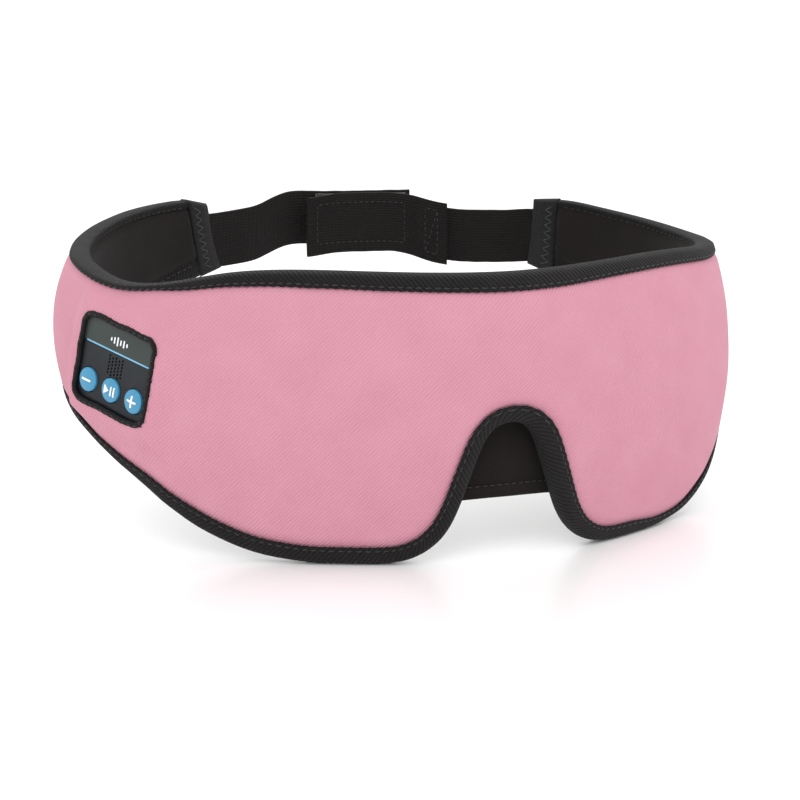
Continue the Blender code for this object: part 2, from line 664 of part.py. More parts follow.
# ---- speakers -------------------------------------------------------------------------
def speaker_matrix(side):
    """Frame of a speaker: z points inwards, to the ear, and 0 is the housing's outer face."""
    s = side * SPEAKER_S
    n = plan_normal(s)
    inward = -Vector((n[0], n[1], LEAN / (TOP.z_at(s) - LOWER.z_at(s)))).normalized()
    across = Vector((0, 0, 1)).cross(inward).normalized()
    matrix = Matrix((across, inward.cross(across), inward)).transposed().to_4x4()
    matrix.translation = at_offset(s, SPEAKER_Z, skin(s, SPEAKER_Z) - SPEAKER_DEPTH)
    return matrix


def build_speaker(side, label, foam, looks):
    frame = speaker_matrix(side)

    def place(name, bm, look):
        made = add_object(f"{label}_speaker_{name}", bm, look)
        made.matrix_world = frame
        return made

    rim, wall = SPEAKER_RADIUS, 1.0 * MM
    housing = turned([(rim - 0.8 * MM, 0), (rim, 0.8 * MM), (rim, 4.6 * MM)], 24)
    housing = place("housing", housing, looks["black plastic"])
    inside = turned([(rim - wall, 1.0 * MM), (rim - wall, 6 * MM)], 24)
    cut(housing, f"{label}_housing_inside", inside, frame)
    grille = turned([(rim, 4.9 * MM), (rim - 0.5 * MM, SPEAKER_HEIGHT)], 24)
    grille = place("grille", grille, looks["black plastic"])
    slots = []
    for k in range(-2, 3):
        outline = rounded_rectangle(1.6 * MM, (17 - abs(k) * 3.4) * MM, 0.6 * MM, (k * 4.2 * MM, 0), 1)
        slots.append(prism(outline, 4 * MM, 7 * MM))
    cut(grille, f"{label}_grille_slots", merged(slots), frame)
    place("magnet", turned([(5.2 * MM, 1.3 * MM), (5.2 * MM, 2.9 * MM)], 20), looks["bright metal"])
    dish = [(2.0 * MM, 4.0 * MM), (5.5 * MM, 3.5 * MM), (9.0 * MM, 4.4 * MM), (10.5 * MM, 4.2 * MM)]
    below = [(r, z - 0.25 * MM) for r, z in reversed(dish)]
    place("diaphragm", turned(dish + below, 24), looks["diaphragm"])
    pocket = turned([(rim + 0.5 * MM, -0.4 * MM), (rim + 0.5 * MM, 16 * MM)], 24)
    cut(foam, f"{label}_speaker_pocket", pocket, frame)


def lead_tube(name, points, look):
    """A round lead through hand-chosen (s, z, depth) points, in millimetres."""
    places = [below_skin(s * MM, z * MM, depth * MM) for s, z, depth in points]
    chord = np.r_[0, np.cumsum([(b - a).length for a, b in zip(places, places[1:])])]
    curve = spline(chord, [tuple(p) for p in places])
    count = max(6, round(chord[-1] / (6.5 * MM)))
    line = bpy.data.curves.new(name, "CURVE")
    line.dimensions = "3D"
    line.bevel_depth = LEAD_RADIUS
    line.bevel_resolution = 1
    line.use_fill_caps = True
    line.render_resolution_u = 0
    track = line.splines.new("POLY")
    track.points.add(count - 1)
    for point, place in zip(track.points, curve(np.linspace(0, chord[-1], count))):
        point.co = (*place, 1)
    made = bpy.data.objects.new(name, line)
    bpy.context.scene.collection.objects.link(made)
    line.materials.append(look)


def build_leads(foam, looks):
    """The two held leads. The long one runs inside the fold of the top binding."""

    def slot(name, s, z_low, z_high, s_half=1.3, depth=7.0):
        rings = []
        for z in (z_low, z_high):
            corners = ((-1, 1.9), (1, 1.9), (1, depth), (-1, depth))
            rings.append([below_skin((s + a * s_half) * MM, z * MM, d * MM) for a, d in corners])
        cut(foam, name, loft(rings))

    fold = 3.7
    ride = [(s, TOP.z_at(s * MM) / MM - fold, 3.0) for s in range(-112, 152, 8)]
    start = [(-120.0, 36.8, 4.2), (-119.6, 38.6, 3.6), (-117.4, 41.2, 3.0)]
    end = [(157.5, TOP.z_at(0.1575) / MM - fold - 0.6, 3.0), (161.4, 44.0, 3.0), (163.0, 42.1, 4.2)]
    lead_tube("left_speaker_lead", start + ride + end, looks["black plastic"])
    short = [(-142.0, 25.4, 5.0), (-146.0, 26.0, 5.2), (-150.2, 26.8, 5.4)]
    lead_tube("right_speaker_lead", short, looks["black plastic"])
    slot("left_lead_slot_at_module", -116.4, 33.0, 43.8, 5.5)
    slot("left_lead_slot_at_speaker", 161.0, 39.5, 49.0, 5.0)
    slot("right_lead_slot", -146.5, 23.5, 28.5, 7.0, 8.0)


# ---- head strap -------------------------------------------------------------------------
def back_s(b):
    """Place round the loop of a point this far along the back from its middle, + towards +X."""
    return HALF_LOOP - b


def strap_offset(side, b):
    """Middle of the elastic, outside (right strap) or inside (left strap) of the overlap's seam line."""
    seam = 2.15 * MM * (1 if side < 0 else -1)
    if side < 0:
        share = smooth_step(b, -36 * MM, OVERLAP_LOW)
    else:
        share = 1 - smooth_step(b, OVERLAP_HIGH, 74 * MM)
    return -RIM_THICKNESS / 2 + share * (seam + RIM_THICKNESS / 2)


def band(heights, side, b_from, b_to, width, low_depth, high_depth, steps):
    """A flat band round the back, between two distances from the elastic's middle."""
    centre = spline(*np.array(heights).T)
    rings = []
    for b in np.linspace(b_from, b_to, steps + 1):
        middle = float(centre(b / MM)[0, 0]) * MM
        base = strap_offset(side, b)
        corners = ((low_depth, -0.5), (high_depth, -0.5), (high_depth, 0.5), (low_depth, 0.5))
        rings.append([at_offset(back_s(b), middle + f * width, base + d) for d, f in corners])
    return loft(rings)


def build_straps(looks):
    half = STRAP_CLOTH / 2
    right_start = -(HALF_LOOP - abs(LOWER.fine[0, 0])) + JOINT_GAP
    left_start = HALF_LOOP - LOWER.fine[-1, 0] - JOINT_GAP
    split, crease = OVERLAP_LOW - 2.5 * MM, OVERLAP_HIGH + 2.5 * MM

    def pivot(side, b, heights):
        z = float(spline(*np.array(heights).T)(b / MM)[0, 0]) * MM
        return at_offset(back_s(b), z, strap_offset(side, b))

    patch_low, patch_high, patch_width = OVERLAP_LOW + 3 * MM, OVERLAP_HIGH - 2 * MM, STRAP_WIDTH - 2 * MM
    face = half + GAP
    right_hinge, bend = right_start - JOINT_GAP / 2, split - JOINT_GAP / 2
    left_hinge, peel = left_start + JOINT_GAP / 2, crease + JOINT_GAP / 2
    pieces = [
        ("right_strap", -1, right_start, split - JOINT_GAP, STRAP_WIDTH, -half, half, 6, right_hinge),
        ("right_strap_end", -1, split, OVERLAP_HIGH, STRAP_WIDTH, -half, half, 8, bend),
        ("loop_patch", -1, patch_low, patch_high, patch_width, -face - PATCH_CLOTH, -face, 8, bend),
        ("left_strap", 1, left_start, crease + JOINT_GAP, STRAP_WIDTH, -half, half, 6, left_hinge),
        ("hook_tab", 1, crease, OVERLAP_LOW, TAB_WIDTH, -half, half, 8, peel),
        ("hook_patch", 1, patch_high, patch_low, patch_width, face, face + PATCH_CLOTH, 8, peel),
    ]
    for name, side, b_from, b_to, width, low, high, steps, hinge_b in pieces:
        heights = RIGHT_STRAP_HEIGHTS if side < 0 else LEFT_STRAP_HEIGHTS
        look = looks["hook and loop"] if "patch" in name else looks["black elastic"]
        body = band(heights, side, b_from, b_to, width, low, high, steps)
        add_object(name, body, look, origin=pivot(side, hinge_b, heights))


def main():
    for old in list(bpy.data.objects):
        bpy.data.objects.remove(old)
    looks = {
        "pink twill": material("pink twill", PINK, 0.75),
        "foam": material("foam", (0.05, 0.05, 0.055), 0.9),
        "black lining": material("black lining", LINING_BLACK, 0.85),
        "black tape": material("black tape", BLACK, 0.7),
        "black elastic": material("black elastic", BLACK, 0.75),
        "hook and loop": material("hook and loop", BLACK, 0.9),
        "dark plate": material("dark plate", PLATE, 0.35),
        "black plastic": material("black plastic", BLACK, 0.45),
        "blue buttons": material("blue buttons", BLUE, 0.25),
        "white signs": material("white signs", WHITE, 0.4),
        "light blue line": material("light blue line", (0.16, 0.50, 0.74), 0.4),
        "board": material("board", (0.01, 0.10, 0.04), 0.4),
        "battery wrap": material("battery wrap", (0.55, 0.57, 0.60), 0.35),
        "bright metal": material("bright metal", (0.70, 0.70, 0.72), 0.3, 1.0),
        "red lamp": material("red lamp", (0.60, 0.03, 0.02), 0.3),
        "diaphragm": material("diaphragm", (0.08, 0.08, 0.085), 0.5),
    }
    cover, foam, lining = build_shell(looks)
    build_bindings(looks)
    build_eye_cup("right_eye_cup", -1, foam, lining, looks["black lining"])
    build_eye_cup("left_eye_cup", 1, foam, lining, looks["black lining"])
    build_nose_flap(looks["black lining"])
    build_module(looks, cover, foam)
    build_speaker(-1, "right", foam, looks)
    build_speaker(1, "left", foam, looks)
    build_leads(foam, looks)
    build_straps(looks)


main()
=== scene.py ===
"""Looks of the soft audio sleep mask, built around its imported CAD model.

Metres, in the CAD model's frame: the wearer looks along -Y and +X is the wearer's left. Soft pieces are laid
out as the CAD model lays them out: s runs round the head from the middle of the front, z runs up, and depth
is measured inwards from the outer skin. Every cloth mesh carries an attribute, "weave", that gives each
point's place in the flat cloth in millimetres, and the materials draw their threads from it.
"""

import json
import math

import bmesh
import bpy
import numpy as np
from mathutils import Matrix, Vector, noise


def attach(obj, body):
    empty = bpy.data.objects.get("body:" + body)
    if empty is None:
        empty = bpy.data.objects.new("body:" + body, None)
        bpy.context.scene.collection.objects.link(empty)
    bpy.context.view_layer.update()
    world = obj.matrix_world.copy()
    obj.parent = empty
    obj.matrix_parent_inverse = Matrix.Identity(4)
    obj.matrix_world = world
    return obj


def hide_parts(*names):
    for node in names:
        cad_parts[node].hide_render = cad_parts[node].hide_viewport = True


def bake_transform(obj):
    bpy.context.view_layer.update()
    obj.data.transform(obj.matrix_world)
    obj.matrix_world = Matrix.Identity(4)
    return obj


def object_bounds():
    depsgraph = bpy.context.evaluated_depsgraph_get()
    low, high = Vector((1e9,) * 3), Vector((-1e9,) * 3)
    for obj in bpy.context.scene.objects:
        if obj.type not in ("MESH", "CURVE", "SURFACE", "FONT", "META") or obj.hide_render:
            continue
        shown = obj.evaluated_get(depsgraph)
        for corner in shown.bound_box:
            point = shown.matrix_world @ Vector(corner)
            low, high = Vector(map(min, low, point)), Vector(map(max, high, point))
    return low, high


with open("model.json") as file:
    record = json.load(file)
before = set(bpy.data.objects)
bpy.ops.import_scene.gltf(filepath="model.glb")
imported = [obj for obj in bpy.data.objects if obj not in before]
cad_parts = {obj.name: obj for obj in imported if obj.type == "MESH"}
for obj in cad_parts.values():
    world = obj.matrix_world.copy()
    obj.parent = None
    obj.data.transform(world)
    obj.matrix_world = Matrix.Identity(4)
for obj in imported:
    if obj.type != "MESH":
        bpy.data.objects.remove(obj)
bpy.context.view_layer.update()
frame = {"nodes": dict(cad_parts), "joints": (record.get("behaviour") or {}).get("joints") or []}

MM = 0.001

# ---- the shell's driving dimensions, as in the CAD model -----------------------------
# distance from the opening's axis by the angle from straight ahead, in degrees and millimetres
PLAN_RADII = {0: 80.8, 25: 80.8, 50: 89.1, 75: 105.4, 100: 114.4, 125: 108.6, 150: 98.3, 180: 90.0}
# (s, z) points of the two edges, in millimetres
TOP_EDGE = [(0, 53.2), (42, 53.8), (73, 54.0)]
TOP_TAIL_RIGHT = [  # dips over the control panel
    (88, 52.7), (103, 49.9), (117, 47.9), (130, 47.6), (143, 49.2), (160, 51.8), (180, 54.4), (203.5, 58.0),
    (226.5, 61.2), (245, 62.6), (257, 62.2), (262.6, 60.6),
]
TOP_TAIL_LEFT = [
    (108.6, 52.2), (125, 51.7), (140, 51.6), (158, 52.0), (180, 54.2), (203.5, 57.5), (217, 59.3),
    (229.0, 59.0),
]
LOBE_EDGE = [
    (0, 7.2), (4.5, 6.0), (8.0, 2.2), (10.4, -3.2), (12.5, -9.0), (14.6, -15.0), (17.2, -21.6), (21.0, -28.0),
    (26.2, -32.6), (33, -35.5), (41, -36.3), (52, -36.3), (62, -36.1), (71, -35.1), (79, -33.6), (86, -31.4),
    (92.5, -28.8), (98.5, -26.0), (104, -22.9), (109, -19.9), (114, -16.4), (120, -12.8), (126, -9.6),
    (133.8, -5.6), (142, -2.0),
]
LOWER_TAIL_RIGHT = [(160, 4.6), (190, 14.2), (225, 24.6), (255, 33.2), (268.8, 37.0)]
LOWER_TAIL_LEFT = [(160, 5.2), (185, 15.0), (210, 26.0), (231.5, 34.4)]
RIM_THICKNESS = 6.0 * MM
CROWN = 4.8 * MM
INNER_CROWN = 1.2 * MM
LEAN = 4.0 * MM
WING_FADE_FROM = 175 * MM
WING_FADE_TO = 262 * MM
WING_CROWN_SHARE = 0.15

CLOTH = 0.6 * MM
COVER_AT_RIM = 1.25 * MM
EDGE_INSET = 2.2 * MM
TAPE_WIDTH = 6.8 * MM
TAPE_CLOTH = 0.8 * MM
# (s, width) of the part of each tape that shows on the outer face, in millimetres
TOP_TAPE_SHOWS = [
    (-112, 1.9), (-99, 3.2), (-82, 4.2), (-62, 4.9), (-20, 5.4), (20, 5.4), (40, 4.8), (100, 4.4), (140, 3.0),
]
LOWER_TAPE_SHOWS = [
    (-136, 2.4), (-124, 3.6), (-112, 5.0), (-100, 5.8), (20, 5.8), (40, 4.8), (50, 4.5), (62, 3.2), (74, 2.4),
]
HEM_WIDTH = 10.2 * MM
HEM_CLEAR = 11.0 * MM

EYE_S = 33 * MM
EYE_Z = 12 * MM
EYE_HALF_WIDTH = 21 * MM
EYE_HALF_HEIGHT = 17 * MM
EYE_DEPTH = 7.0 * MM

PANEL_S = -124.3 * MM
PANEL_Z = 21.2 * MM
PANEL_TILT = math.radians(-12.0)
PANEL_SINK = 1.0 * MM
BORDER_WIDTH = 34.2 * MM
BORDER_HEIGHT = 29.4 * MM
MODULE_WIDTH = 33.2 * MM
MODULE_HEIGHT = 28.4 * MM
FACE_THICKNESS = 1.2 * MM
BUTTON_RADIUS = 3.9 * MM
BUTTON_PITCH = 10.8 * MM
BUTTON_ROW = -7.0 * MM
ACCENT_ROW = 5.2 * MM

SPEAKER_S = 163 * MM
SPEAKER_Z = 29.2 * MM
SPEAKER_RADIUS = 12.0 * MM

STRAP_WIDTH = 20.5 * MM
TAB_WIDTH = 24.0 * MM
STRAP_CLOTH = 1.3 * MM
# distance along the back from its middle (+ towards +X): height of the strap's middle
RIGHT_STRAP_HEIGHTS = [
    (-70, 47.2), (-43, 47.2), (-33, 48.2), (-27, 49.3), (-20.5, 51.6), (-14, 52.9), (-7, 52.4), (2, 51.9),
    (35, 51.4),
]
LEFT_STRAP_HEIGHTS = [
    (-8.5, 51.2), (4, 51.6), (16, 51.5), (28, 51.0), (34, 49.8), (40, 47.6), (46, 46.0), (52, 45.1),
    (58, 44.7), (70, 44.7), (81, 45.0), (95, 45.4),
]
OVERLAP_LOW = -8.0 * MM
OVERLAP_HIGH = 35.0 * MM
SEAM_HALF = 2.15 * MM


# ---- curves -----------------------------------------------------------------------------
def spline(places, values, closed=False):
    """A cubic curve through the values with no jump in curvature. Returns f(t)."""
    t, v = np.array(places, float), np.array(values, float)
    if v.ndim == 1:
        v = v[:, None]
    h, n = np.diff(t), len(t)
    rows, right = np.zeros((n, n)), np.zeros((n, v.shape[1]))
    slope = np.diff(v, axis=0) / h[:, None]
    for i in range(1, n - 1):
        rows[i, i - 1 : i + 2] = h[i - 1], 2 * (h[i - 1] + h[i]), h[i]
        right[i] = 6 * (slope[i] - slope[i - 1])
    if closed:
        rows[0, 0], rows[0, -1] = 1, -1
        rows[-1, [0, 1, -2]] = 2 * (h[-1] + h[0]), h[0], h[-1]
        right[-1] = 6 * (slope[0] - slope[-1])
    else:
        rows[0, 0] = rows[-1, -1] = 1
    bend = np.linalg.solve(rows, right)

    def at(x):
        x = np.atleast_1d(np.asarray(x, float))
        i = np.clip(np.searchsorted(t, x) - 1, 0, n - 2)
        a, b = (t[i + 1] - x)[:, None], (x - t[i])[:, None]
        step = h[i][:, None]
        curve = (bend[i] * a**3 + bend[i + 1] * b**3) / (6 * step)
        line = (v[i] / step - bend[i] * step / 6) * a + (v[i + 1] / step - bend[i + 1] * step / 6) * b
        return curve + line

    return at


def smooth_step(x, low, high):
    t = np.clip((x - low) / (high - low), 0, 1)
    return t * t * (3 - 2 * t)


class Path:
    """A smooth open curve in (s, z) through given points, read by its length or by s."""

    def __init__(self, points_mm):
        points = np.array(points_mm, float) * MM
        chord = np.r_[0, np.cumsum(np.linalg.norm(np.diff(points, axis=0), axis=1))]
        self.fine = spline(chord, points)(np.linspace(0, chord[-1], 1500))
        self.along = np.r_[0, np.cumsum(np.linalg.norm(np.diff(self.fine, axis=0), axis=1))]

    def length_at(self, s):
        return np.interp(s, self.fine[:, 0], self.along)

    def z_at(self, s):
        return np.interp(s, self.fine[:, 0], self.fine[:, 1])

    def point(self, length):
        return np.stack([np.interp(length, self.along, self.fine[:, k]) for k in (0, 1)], axis=-1)

    def inset(self, length, distance):
        """The point this far to the left of the curve, seen in its running direction."""
        step = self.point(length + 0.8 * MM) - self.point(length - 0.8 * MM)
        step /= np.linalg.norm(step, axis=-1, keepdims=True)
        side = np.stack([-step[..., 1], step[..., 0]], axis=-1)
        return self.point(length) + np.asarray(distance)[..., None] * side


def mirrored(points):
    return [(-s, z) for s, z in reversed(points) if s > 0]


# ---- the shell's skin ---------------------------------------------------------------------
degrees = [-a for a in reversed(PLAN_RADII) if 0 < a] + list(PLAN_RADII)
plan_radius = spline(np.radians(degrees), [PLAN_RADII[abs(a)] * MM for a in degrees], closed=True)
plan_angles = np.radians(np.linspace(-180, 180, 2881))
plan_r = plan_radius(plan_angles)[:, 0]
PLAN = np.stack([plan_r * np.sin(plan_angles), -plan_r * np.cos(plan_angles)], axis=1)
PLAN_S = np.r_[0, np.cumsum(np.linalg.norm(np.diff(PLAN, axis=0), axis=1))]
PLAN_S -= np.interp(0, plan_angles, PLAN_S)
HALF_LOOP = float(PLAN_S[-1])


def plan_point(s):
    s = (s + HALF_LOOP) % (2 * HALF_LOOP) - HALF_LOOP
    return np.stack([np.interp(s, PLAN_S, PLAN[:, k]) for k in (0, 1)], axis=-1)


def plan_normal(s):
    step = plan_point(s + 1.5 * MM) - plan_point(s - 1.5 * MM)
    out = np.stack([step[..., 1], -step[..., 0]], axis=-1)
    return out / np.linalg.norm(out, axis=-1, keepdims=True)


TOP = Path(mirrored(TOP_EDGE + TOP_TAIL_RIGHT) + TOP_EDGE + TOP_TAIL_LEFT)
LOWER = Path(mirrored(LOBE_EDGE + LOWER_TAIL_RIGHT) + LOBE_EDGE + LOWER_TAIL_LEFT)


def height_share(s, z):
    low, high = LOWER.z_at(s), TOP.z_at(s)
    return np.clip((z - low) / (high - low), 0, 1)


def wing_share(s):
    return 1 - (1 - WING_CROWN_SHARE) * smooth_step(np.abs(s), WING_FADE_FROM, WING_FADE_TO)


def free_skin(s, z):
    """How far the outer skin stands outside the plan curve."""
    v = height_share(s, z)
    return wing_share(s) * (CROWN * 4 * v * (1 - v) + LEAN * (1 - v))


def at_offset(s, z, offset):
    """Points this far outside the plan curve, as an array whose last axis is x, y, z."""
    flat = plan_point(s) + plan_normal(s) * np.asarray(offset)[..., None]
    return np.concatenate([flat, np.broadcast_to(z, flat.shape[:-1])[..., None]], axis=-1)


def panel_matrix():
    """The control panel's frame: x to the front of the mask, y up, z outwards; 0 at the plate's face."""
    n = plan_normal(PANEL_S)
    outward = Vector((n[0], n[1], LEAN / (TOP.z_at(PANEL_S) - LOWER.z_at(PANEL_S)))).normalized()
    level = Vector((-n[1], n[0], 0)).normalized()
    up = outward.cross(level)
    across = math.cos(PANEL_TILT) * level + math.sin(PANEL_TILT) * up
    up = outward.cross(across)
    centre = Vector(at_offset(PANEL_S, PANEL_Z, free_skin(PANEL_S, PANEL_Z))) - outward * PANEL_SINK
    matrix = Matrix((across, up, outward)).transposed().to_4x4()
    matrix.translation = centre
    return matrix


PANEL = panel_matrix()
TO_PANEL = np.array(PANEL.inverted())


def panel_local(points):
    return points @ TO_PANEL[:3, :3].T + TO_PANEL[:3, 3]


def skin(s, z):
    """free_skin, drawn flat around the control panel."""
    offset = free_skin(s, z)
    local = panel_local(at_offset(s, z, offset))
    beyond = np.maximum(np.abs(local[..., 0]) - BORDER_WIDTH / 2, np.abs(local[..., 1]) - BORDER_HEIGHT / 2)
    share = np.where(np.abs(s - PANEL_S) > 40 * MM, 0, 1 - smooth_step(beyond, 0, 8.5 * MM))
    n = plan_normal(s)
    facing = n[..., 0] * PANEL[0][2] + n[..., 1] * PANEL[1][2]
    lift = np.minimum(0.7 * MM - local[..., 2], 2.6 * MM)
    return offset + share * lift / np.where(share > 0, facing, 1)


def thickness(s, z):
    v = height_share(s, z)
    return RIM_THICKNESS + wing_share(s) * (CROWN + INNER_CROWN) * 4 * v * (1 - v)


def below_skin(s, z, depth):
    return at_offset(s, z, skin(s, z) - depth)


# ---- making pieces ------------------------------------------------------------------------
def add_mesh(name, points, faces, look, weave=None, sharp=None):
    """A piece from points and faces. The attribute "weave" is its place in the flat cloth, in millimetres."""
    mesh = bpy.data.meshes.new(name)
    mesh.from_pydata(np.asarray(points, float).reshape(-1, 3).tolist(), [], faces)
    if weave is not None:
        attribute = mesh.attributes.new("weave", "FLOAT_VECTOR", "POINT")
        attribute.data.foreach_set("vector", np.asarray(weave, np.float32).ravel())
    return add_piece(name, mesh, look, sharp)


def add_piece(name, mesh, look, sharp=None):
    mesh.materials.append(look)
    mesh.shade_smooth()
    if sharp is not None:
        mesh.set_sharp_from_angle(angle=math.radians(sharp))
    made = bpy.data.objects.new(name, mesh)
    bpy.context.scene.collection.objects.link(made)
    return made


def grid_faces(rows, columns, close_columns=False, flip=False):
    """Quads of a grid of points stored row by row."""
    faces = []
    for i in range(rows - 1):
        for j in range(columns if close_columns else columns - 1):
            k = (j + 1) % columns
            face = (i * columns + j, i * columns + k, (i + 1) * columns + k, (i + 1) * columns + j)
            faces.append(face[::-1] if flip else face)
    return faces


def tube_faces(rows, columns):
    """A closed body through equal rings, with a fan-free cap of one face at each end."""
    faces = grid_faces(rows, columns, close_columns=True)
    first, last = list(range(columns)), [(rows - 1) * columns + j for j in range(columns)]
    return faces + [first[::-1], last]


def uneven(x, y, z):
    """Smooth noise, from about -1 to 1, at the places given by three arrays or numbers."""
    x, y, z = np.broadcast_arrays(x, y, z)
    made = [noise.noise(Vector(place)) for place in zip(x.ravel(), y.ravel(), z.ravel())]
    return np.array(made).reshape(x.shape)


def outwards(piece):
    bm = bmesh.new()
    bm.from_mesh(piece.data)
    bmesh.ops.recalc_face_normals(bm, faces=bm.faces)
    bm.to_mesh(piece.data)
    bm.free()
    return piece


def solidify(piece, cloth):
    """Gives a sheet its thickness, on the side away from its normals."""
    made = piece.modifiers.new("cloth thickness", "SOLIDIFY")
    made.thickness = cloth
    made.offset = -1
    return piece


def stitch_row(name, starts, ends, outs, look, radius=0.24 * MM, arch=0.16 * MM):
    """Raised stitches from start to end points, each a thin arched thread that dives into the cloth."""
    points, faces = [], []
    sides, rings = 6, 7
    for a, b, out in zip(starts, ends, outs):
        run = b - a
        length = np.linalg.norm(run)
        if length < 1e-6:
            continue
        run = run / length
        across = np.cross(run, out)
        across /= np.linalg.norm(across)
        up = np.cross(across, run)
        base = len(points)
        for i in range(rings):
            t = i / (rings - 1)
            lift = arch * (math.sin(math.pi * t) ** 0.6 if 0 < t < 1 else 0) - 0.12 * MM
            r = radius * (0.45 + 0.55 * math.sin(math.pi * t) ** 0.5 if 0 < t < 1 else 0.45)
            for j in range(sides):
                angle = 2 * math.pi * j / sides
                round_thread = up * (lift + r * math.sin(angle)) + across * r * math.cos(angle)
                points.append(a + run * length * t + round_thread)
        body = tube_faces(rings, sides)
        faces += [tuple(base + k for k in face) for face in body]
    return outwards(add_mesh(name, points, faces, look))


def ride_on(body, slot, *pieces):
    for piece in pieces:
        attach(piece, body)


# ---- materials ------------------------------------------------------------------------------
class Recipe:
    """A Principled material whose detail follows a place on the cloth, or on the body, in millimetres."""

    def __init__(self, name, roughness, place="weave", **sockets):
        self.material = bpy.data.materials.new(name)
        self.material.use_nodes = True
        self.tree = self.material.node_tree
        self.shader = self.tree.nodes["Principled BSDF"]
        self.shader.inputs["Roughness"].default_value = roughness
        for socket, value in sockets.items():
            self.shader.inputs[socket.replace("_", " ")].default_value = value
        if place == "weave":
            source = self.add("ShaderNodeAttribute", attribute_name="weave")
            self.place = source.outputs["Vector"]
        else:
            source = self.add("ShaderNodeTexCoord")
            scaled = self.add("ShaderNodeVectorMath", operation="SCALE")
            self.tree.links.new(source.outputs["Object"], scaled.inputs[0])
            scaled.inputs["Scale"].default_value = 1 / MM
            self.place = scaled.outputs["Vector"]

    def add(self, kind, **settings):
        node = self.tree.nodes.new(kind)
        for key, value in settings.items():
            setattr(node, key, value)
        return node

    def feed(self, socket, value):
        if isinstance(value, bpy.types.NodeSocket):
            self.tree.links.new(value, socket)
        else:
            socket.default_value = value

    def math(self, operation, one, two=0.0, clamp=False):
        node = self.add("ShaderNodeMath", operation=operation, use_clamp=clamp)
        self.feed(node.inputs[0], one)
        self.feed(node.inputs[1], two)
        return node.outputs[0]

    def total(self, *terms):
        """The sum of (value, weight) pairs."""
        result = 0.0
        for value, weight in terms:
            result = self.math("ADD", self.math("MULTIPLY", value, weight), result)
        return result

    def along(self, direction):
        node = self.add("ShaderNodeVectorMath", operation="DOT_PRODUCT")
        self.tree.links.new(self.place, node.inputs[0])
        node.inputs[1].default_value = direction
        return node.outputs["Value"]

    def ribs(self, direction, pitch, wobble=None):
        """Soft parallel ridges, from -1 to 1, this many millimetres apart across a direction."""
        unit = Vector(direction).normalized()
        phase = self.math("MULTIPLY", self.along(unit), 2 * math.pi / pitch)
        if wobble is not None:
            phase = self.math("ADD", phase, wobble)
        return self.math("SINE", phase)

    def noise(self, size, detail=2.0, roughness=0.5):
        """Soft noise, from about 0 to 1, with patches of this many millimetres."""
        node = self.add("ShaderNodeTexNoise", noise_dimensions="3D")
        self.tree.links.new(self.place, node.inputs["Vector"])
        node.inputs["Scale"].default_value = 1 / size
        node.inputs["Detail"].default_value = detail
        node.inputs["Roughness"].default_value = roughness
        return node.outputs["Fac"]

    def cells(self, size, feature="F1"):
        node = self.add("ShaderNodeTexVoronoi", feature=feature)
        self.tree.links.new(self.place, node.inputs["Vector"])
        node.inputs["Scale"].default_value = 1 / size
        return node.outputs["Distance"]

    def colour(self, factor, dark, light):
        node = self.add("ShaderNodeMix", data_type="RGBA", clamp_factor=True)
        self.feed(node.inputs[0], factor)
        self.feed(node.inputs[6], (*dark, 1))
        self.feed(node.inputs[7], (*light, 1))
        self.tree.links.new(node.outputs[2], self.shader.inputs["Base Color"])
        return self

    def roughness(self, factor, low, high):
        value = self.math("ADD", self.math("MULTIPLY", factor, high - low), low, clamp=True)
        self.tree.links.new(value, self.shader.inputs["Roughness"])
        return self

    def bump(self, height, depth_mm, strength=1.0):
        node = self.add("ShaderNodeBump")
        node.inputs["Strength"].default_value = strength
        node.inputs["Distance"].default_value = depth_mm * MM
        self.tree.links.new(height, node.inputs["Height"])
        self.tree.links.new(node.outputs["Normal"], self.shader.inputs["Normal"])
        return self


def twill(name, dark, light, pitch=0.95, sheen=0.05):
    """Fine diagonal ribs, with the yarns' unevenness and a faint mottling."""
    r = Recipe(name, 0.80, Sheen_Weight=sheen, Sheen_Roughness=0.45, Specular_IOR_Level=0.25)
    slub = r.noise(0.45, 2)
    wale = r.ribs((1, -1, 0), pitch, wobble=r.math("MULTIPLY", r.noise(6.0, 1), 1.2))
    pick = r.ribs((1, 1, 0), 0.42)
    mottling = r.noise(16.0, 3)
    shade = r.total((wale, 0.14), (pick, 0.06), (slub, 0.30), (mottling, 0.50))
    r.colour(r.math("ADD", shade, 0.10, clamp=True), dark, light)
    return r.bump(r.total((wale, 0.55), (pick, 0.15), (slub, 0.5)), 0.10)


def tape(name, dark, light, pitch=1.25, lean=0.75):
    """Folded binding tape: slanting cords across the tape, with fine yarns between them, and a painted
    highlight on the cord crests.
    """
    r = Recipe(name, 0.75, Sheen_Weight=0.03, Sheen_Roughness=0.40, Specular_IOR_Level=0.22)
    fine = r.noise(0.30, 2)
    cord = r.ribs((1, lean, 0), pitch, wobble=r.math("MULTIPLY", r.noise(4.0, 1), 1.5))
    yarn = r.ribs((lean, -1, 0), 0.5)
    wear = r.noise(9.0, 3)
    # painted highlight: the cord term lightens the base colour on each cord's crest, as well as raising it in
    # the bump
    shade = r.total((cord, 0.26), (yarn, 0.08), (fine, 0.30), (wear, 0.30))
    r.colour(r.math("ADD", shade, 0.05, clamp=True), dark, light)
    return r.bump(r.total((cord, 0.8), (yarn, 0.25), (fine, 0.4)), 0.22)


def knit(name, dark, light, loop=0.8):
    """Soft brushed knit: rows of small loops under a short nap."""
    r = Recipe(name, 0.90, Sheen_Weight=0.05, Sheen_Roughness=0.5, Specular_IOR_Level=0.2)
    nap = r.noise(0.35, 3, 0.65)
    rows = r.math("MULTIPLY", r.ribs((1, 0, 0), loop), r.ribs((0, 1, 0), loop * 0.7))
    patches = r.noise(14.0, 3)
    r.colour(r.total((rows, 0.12), (nap, 0.45), (patches, 0.45)), dark, light)
    return r.bump(r.total((rows, 0.4), (nap, 0.7)), 0.10)


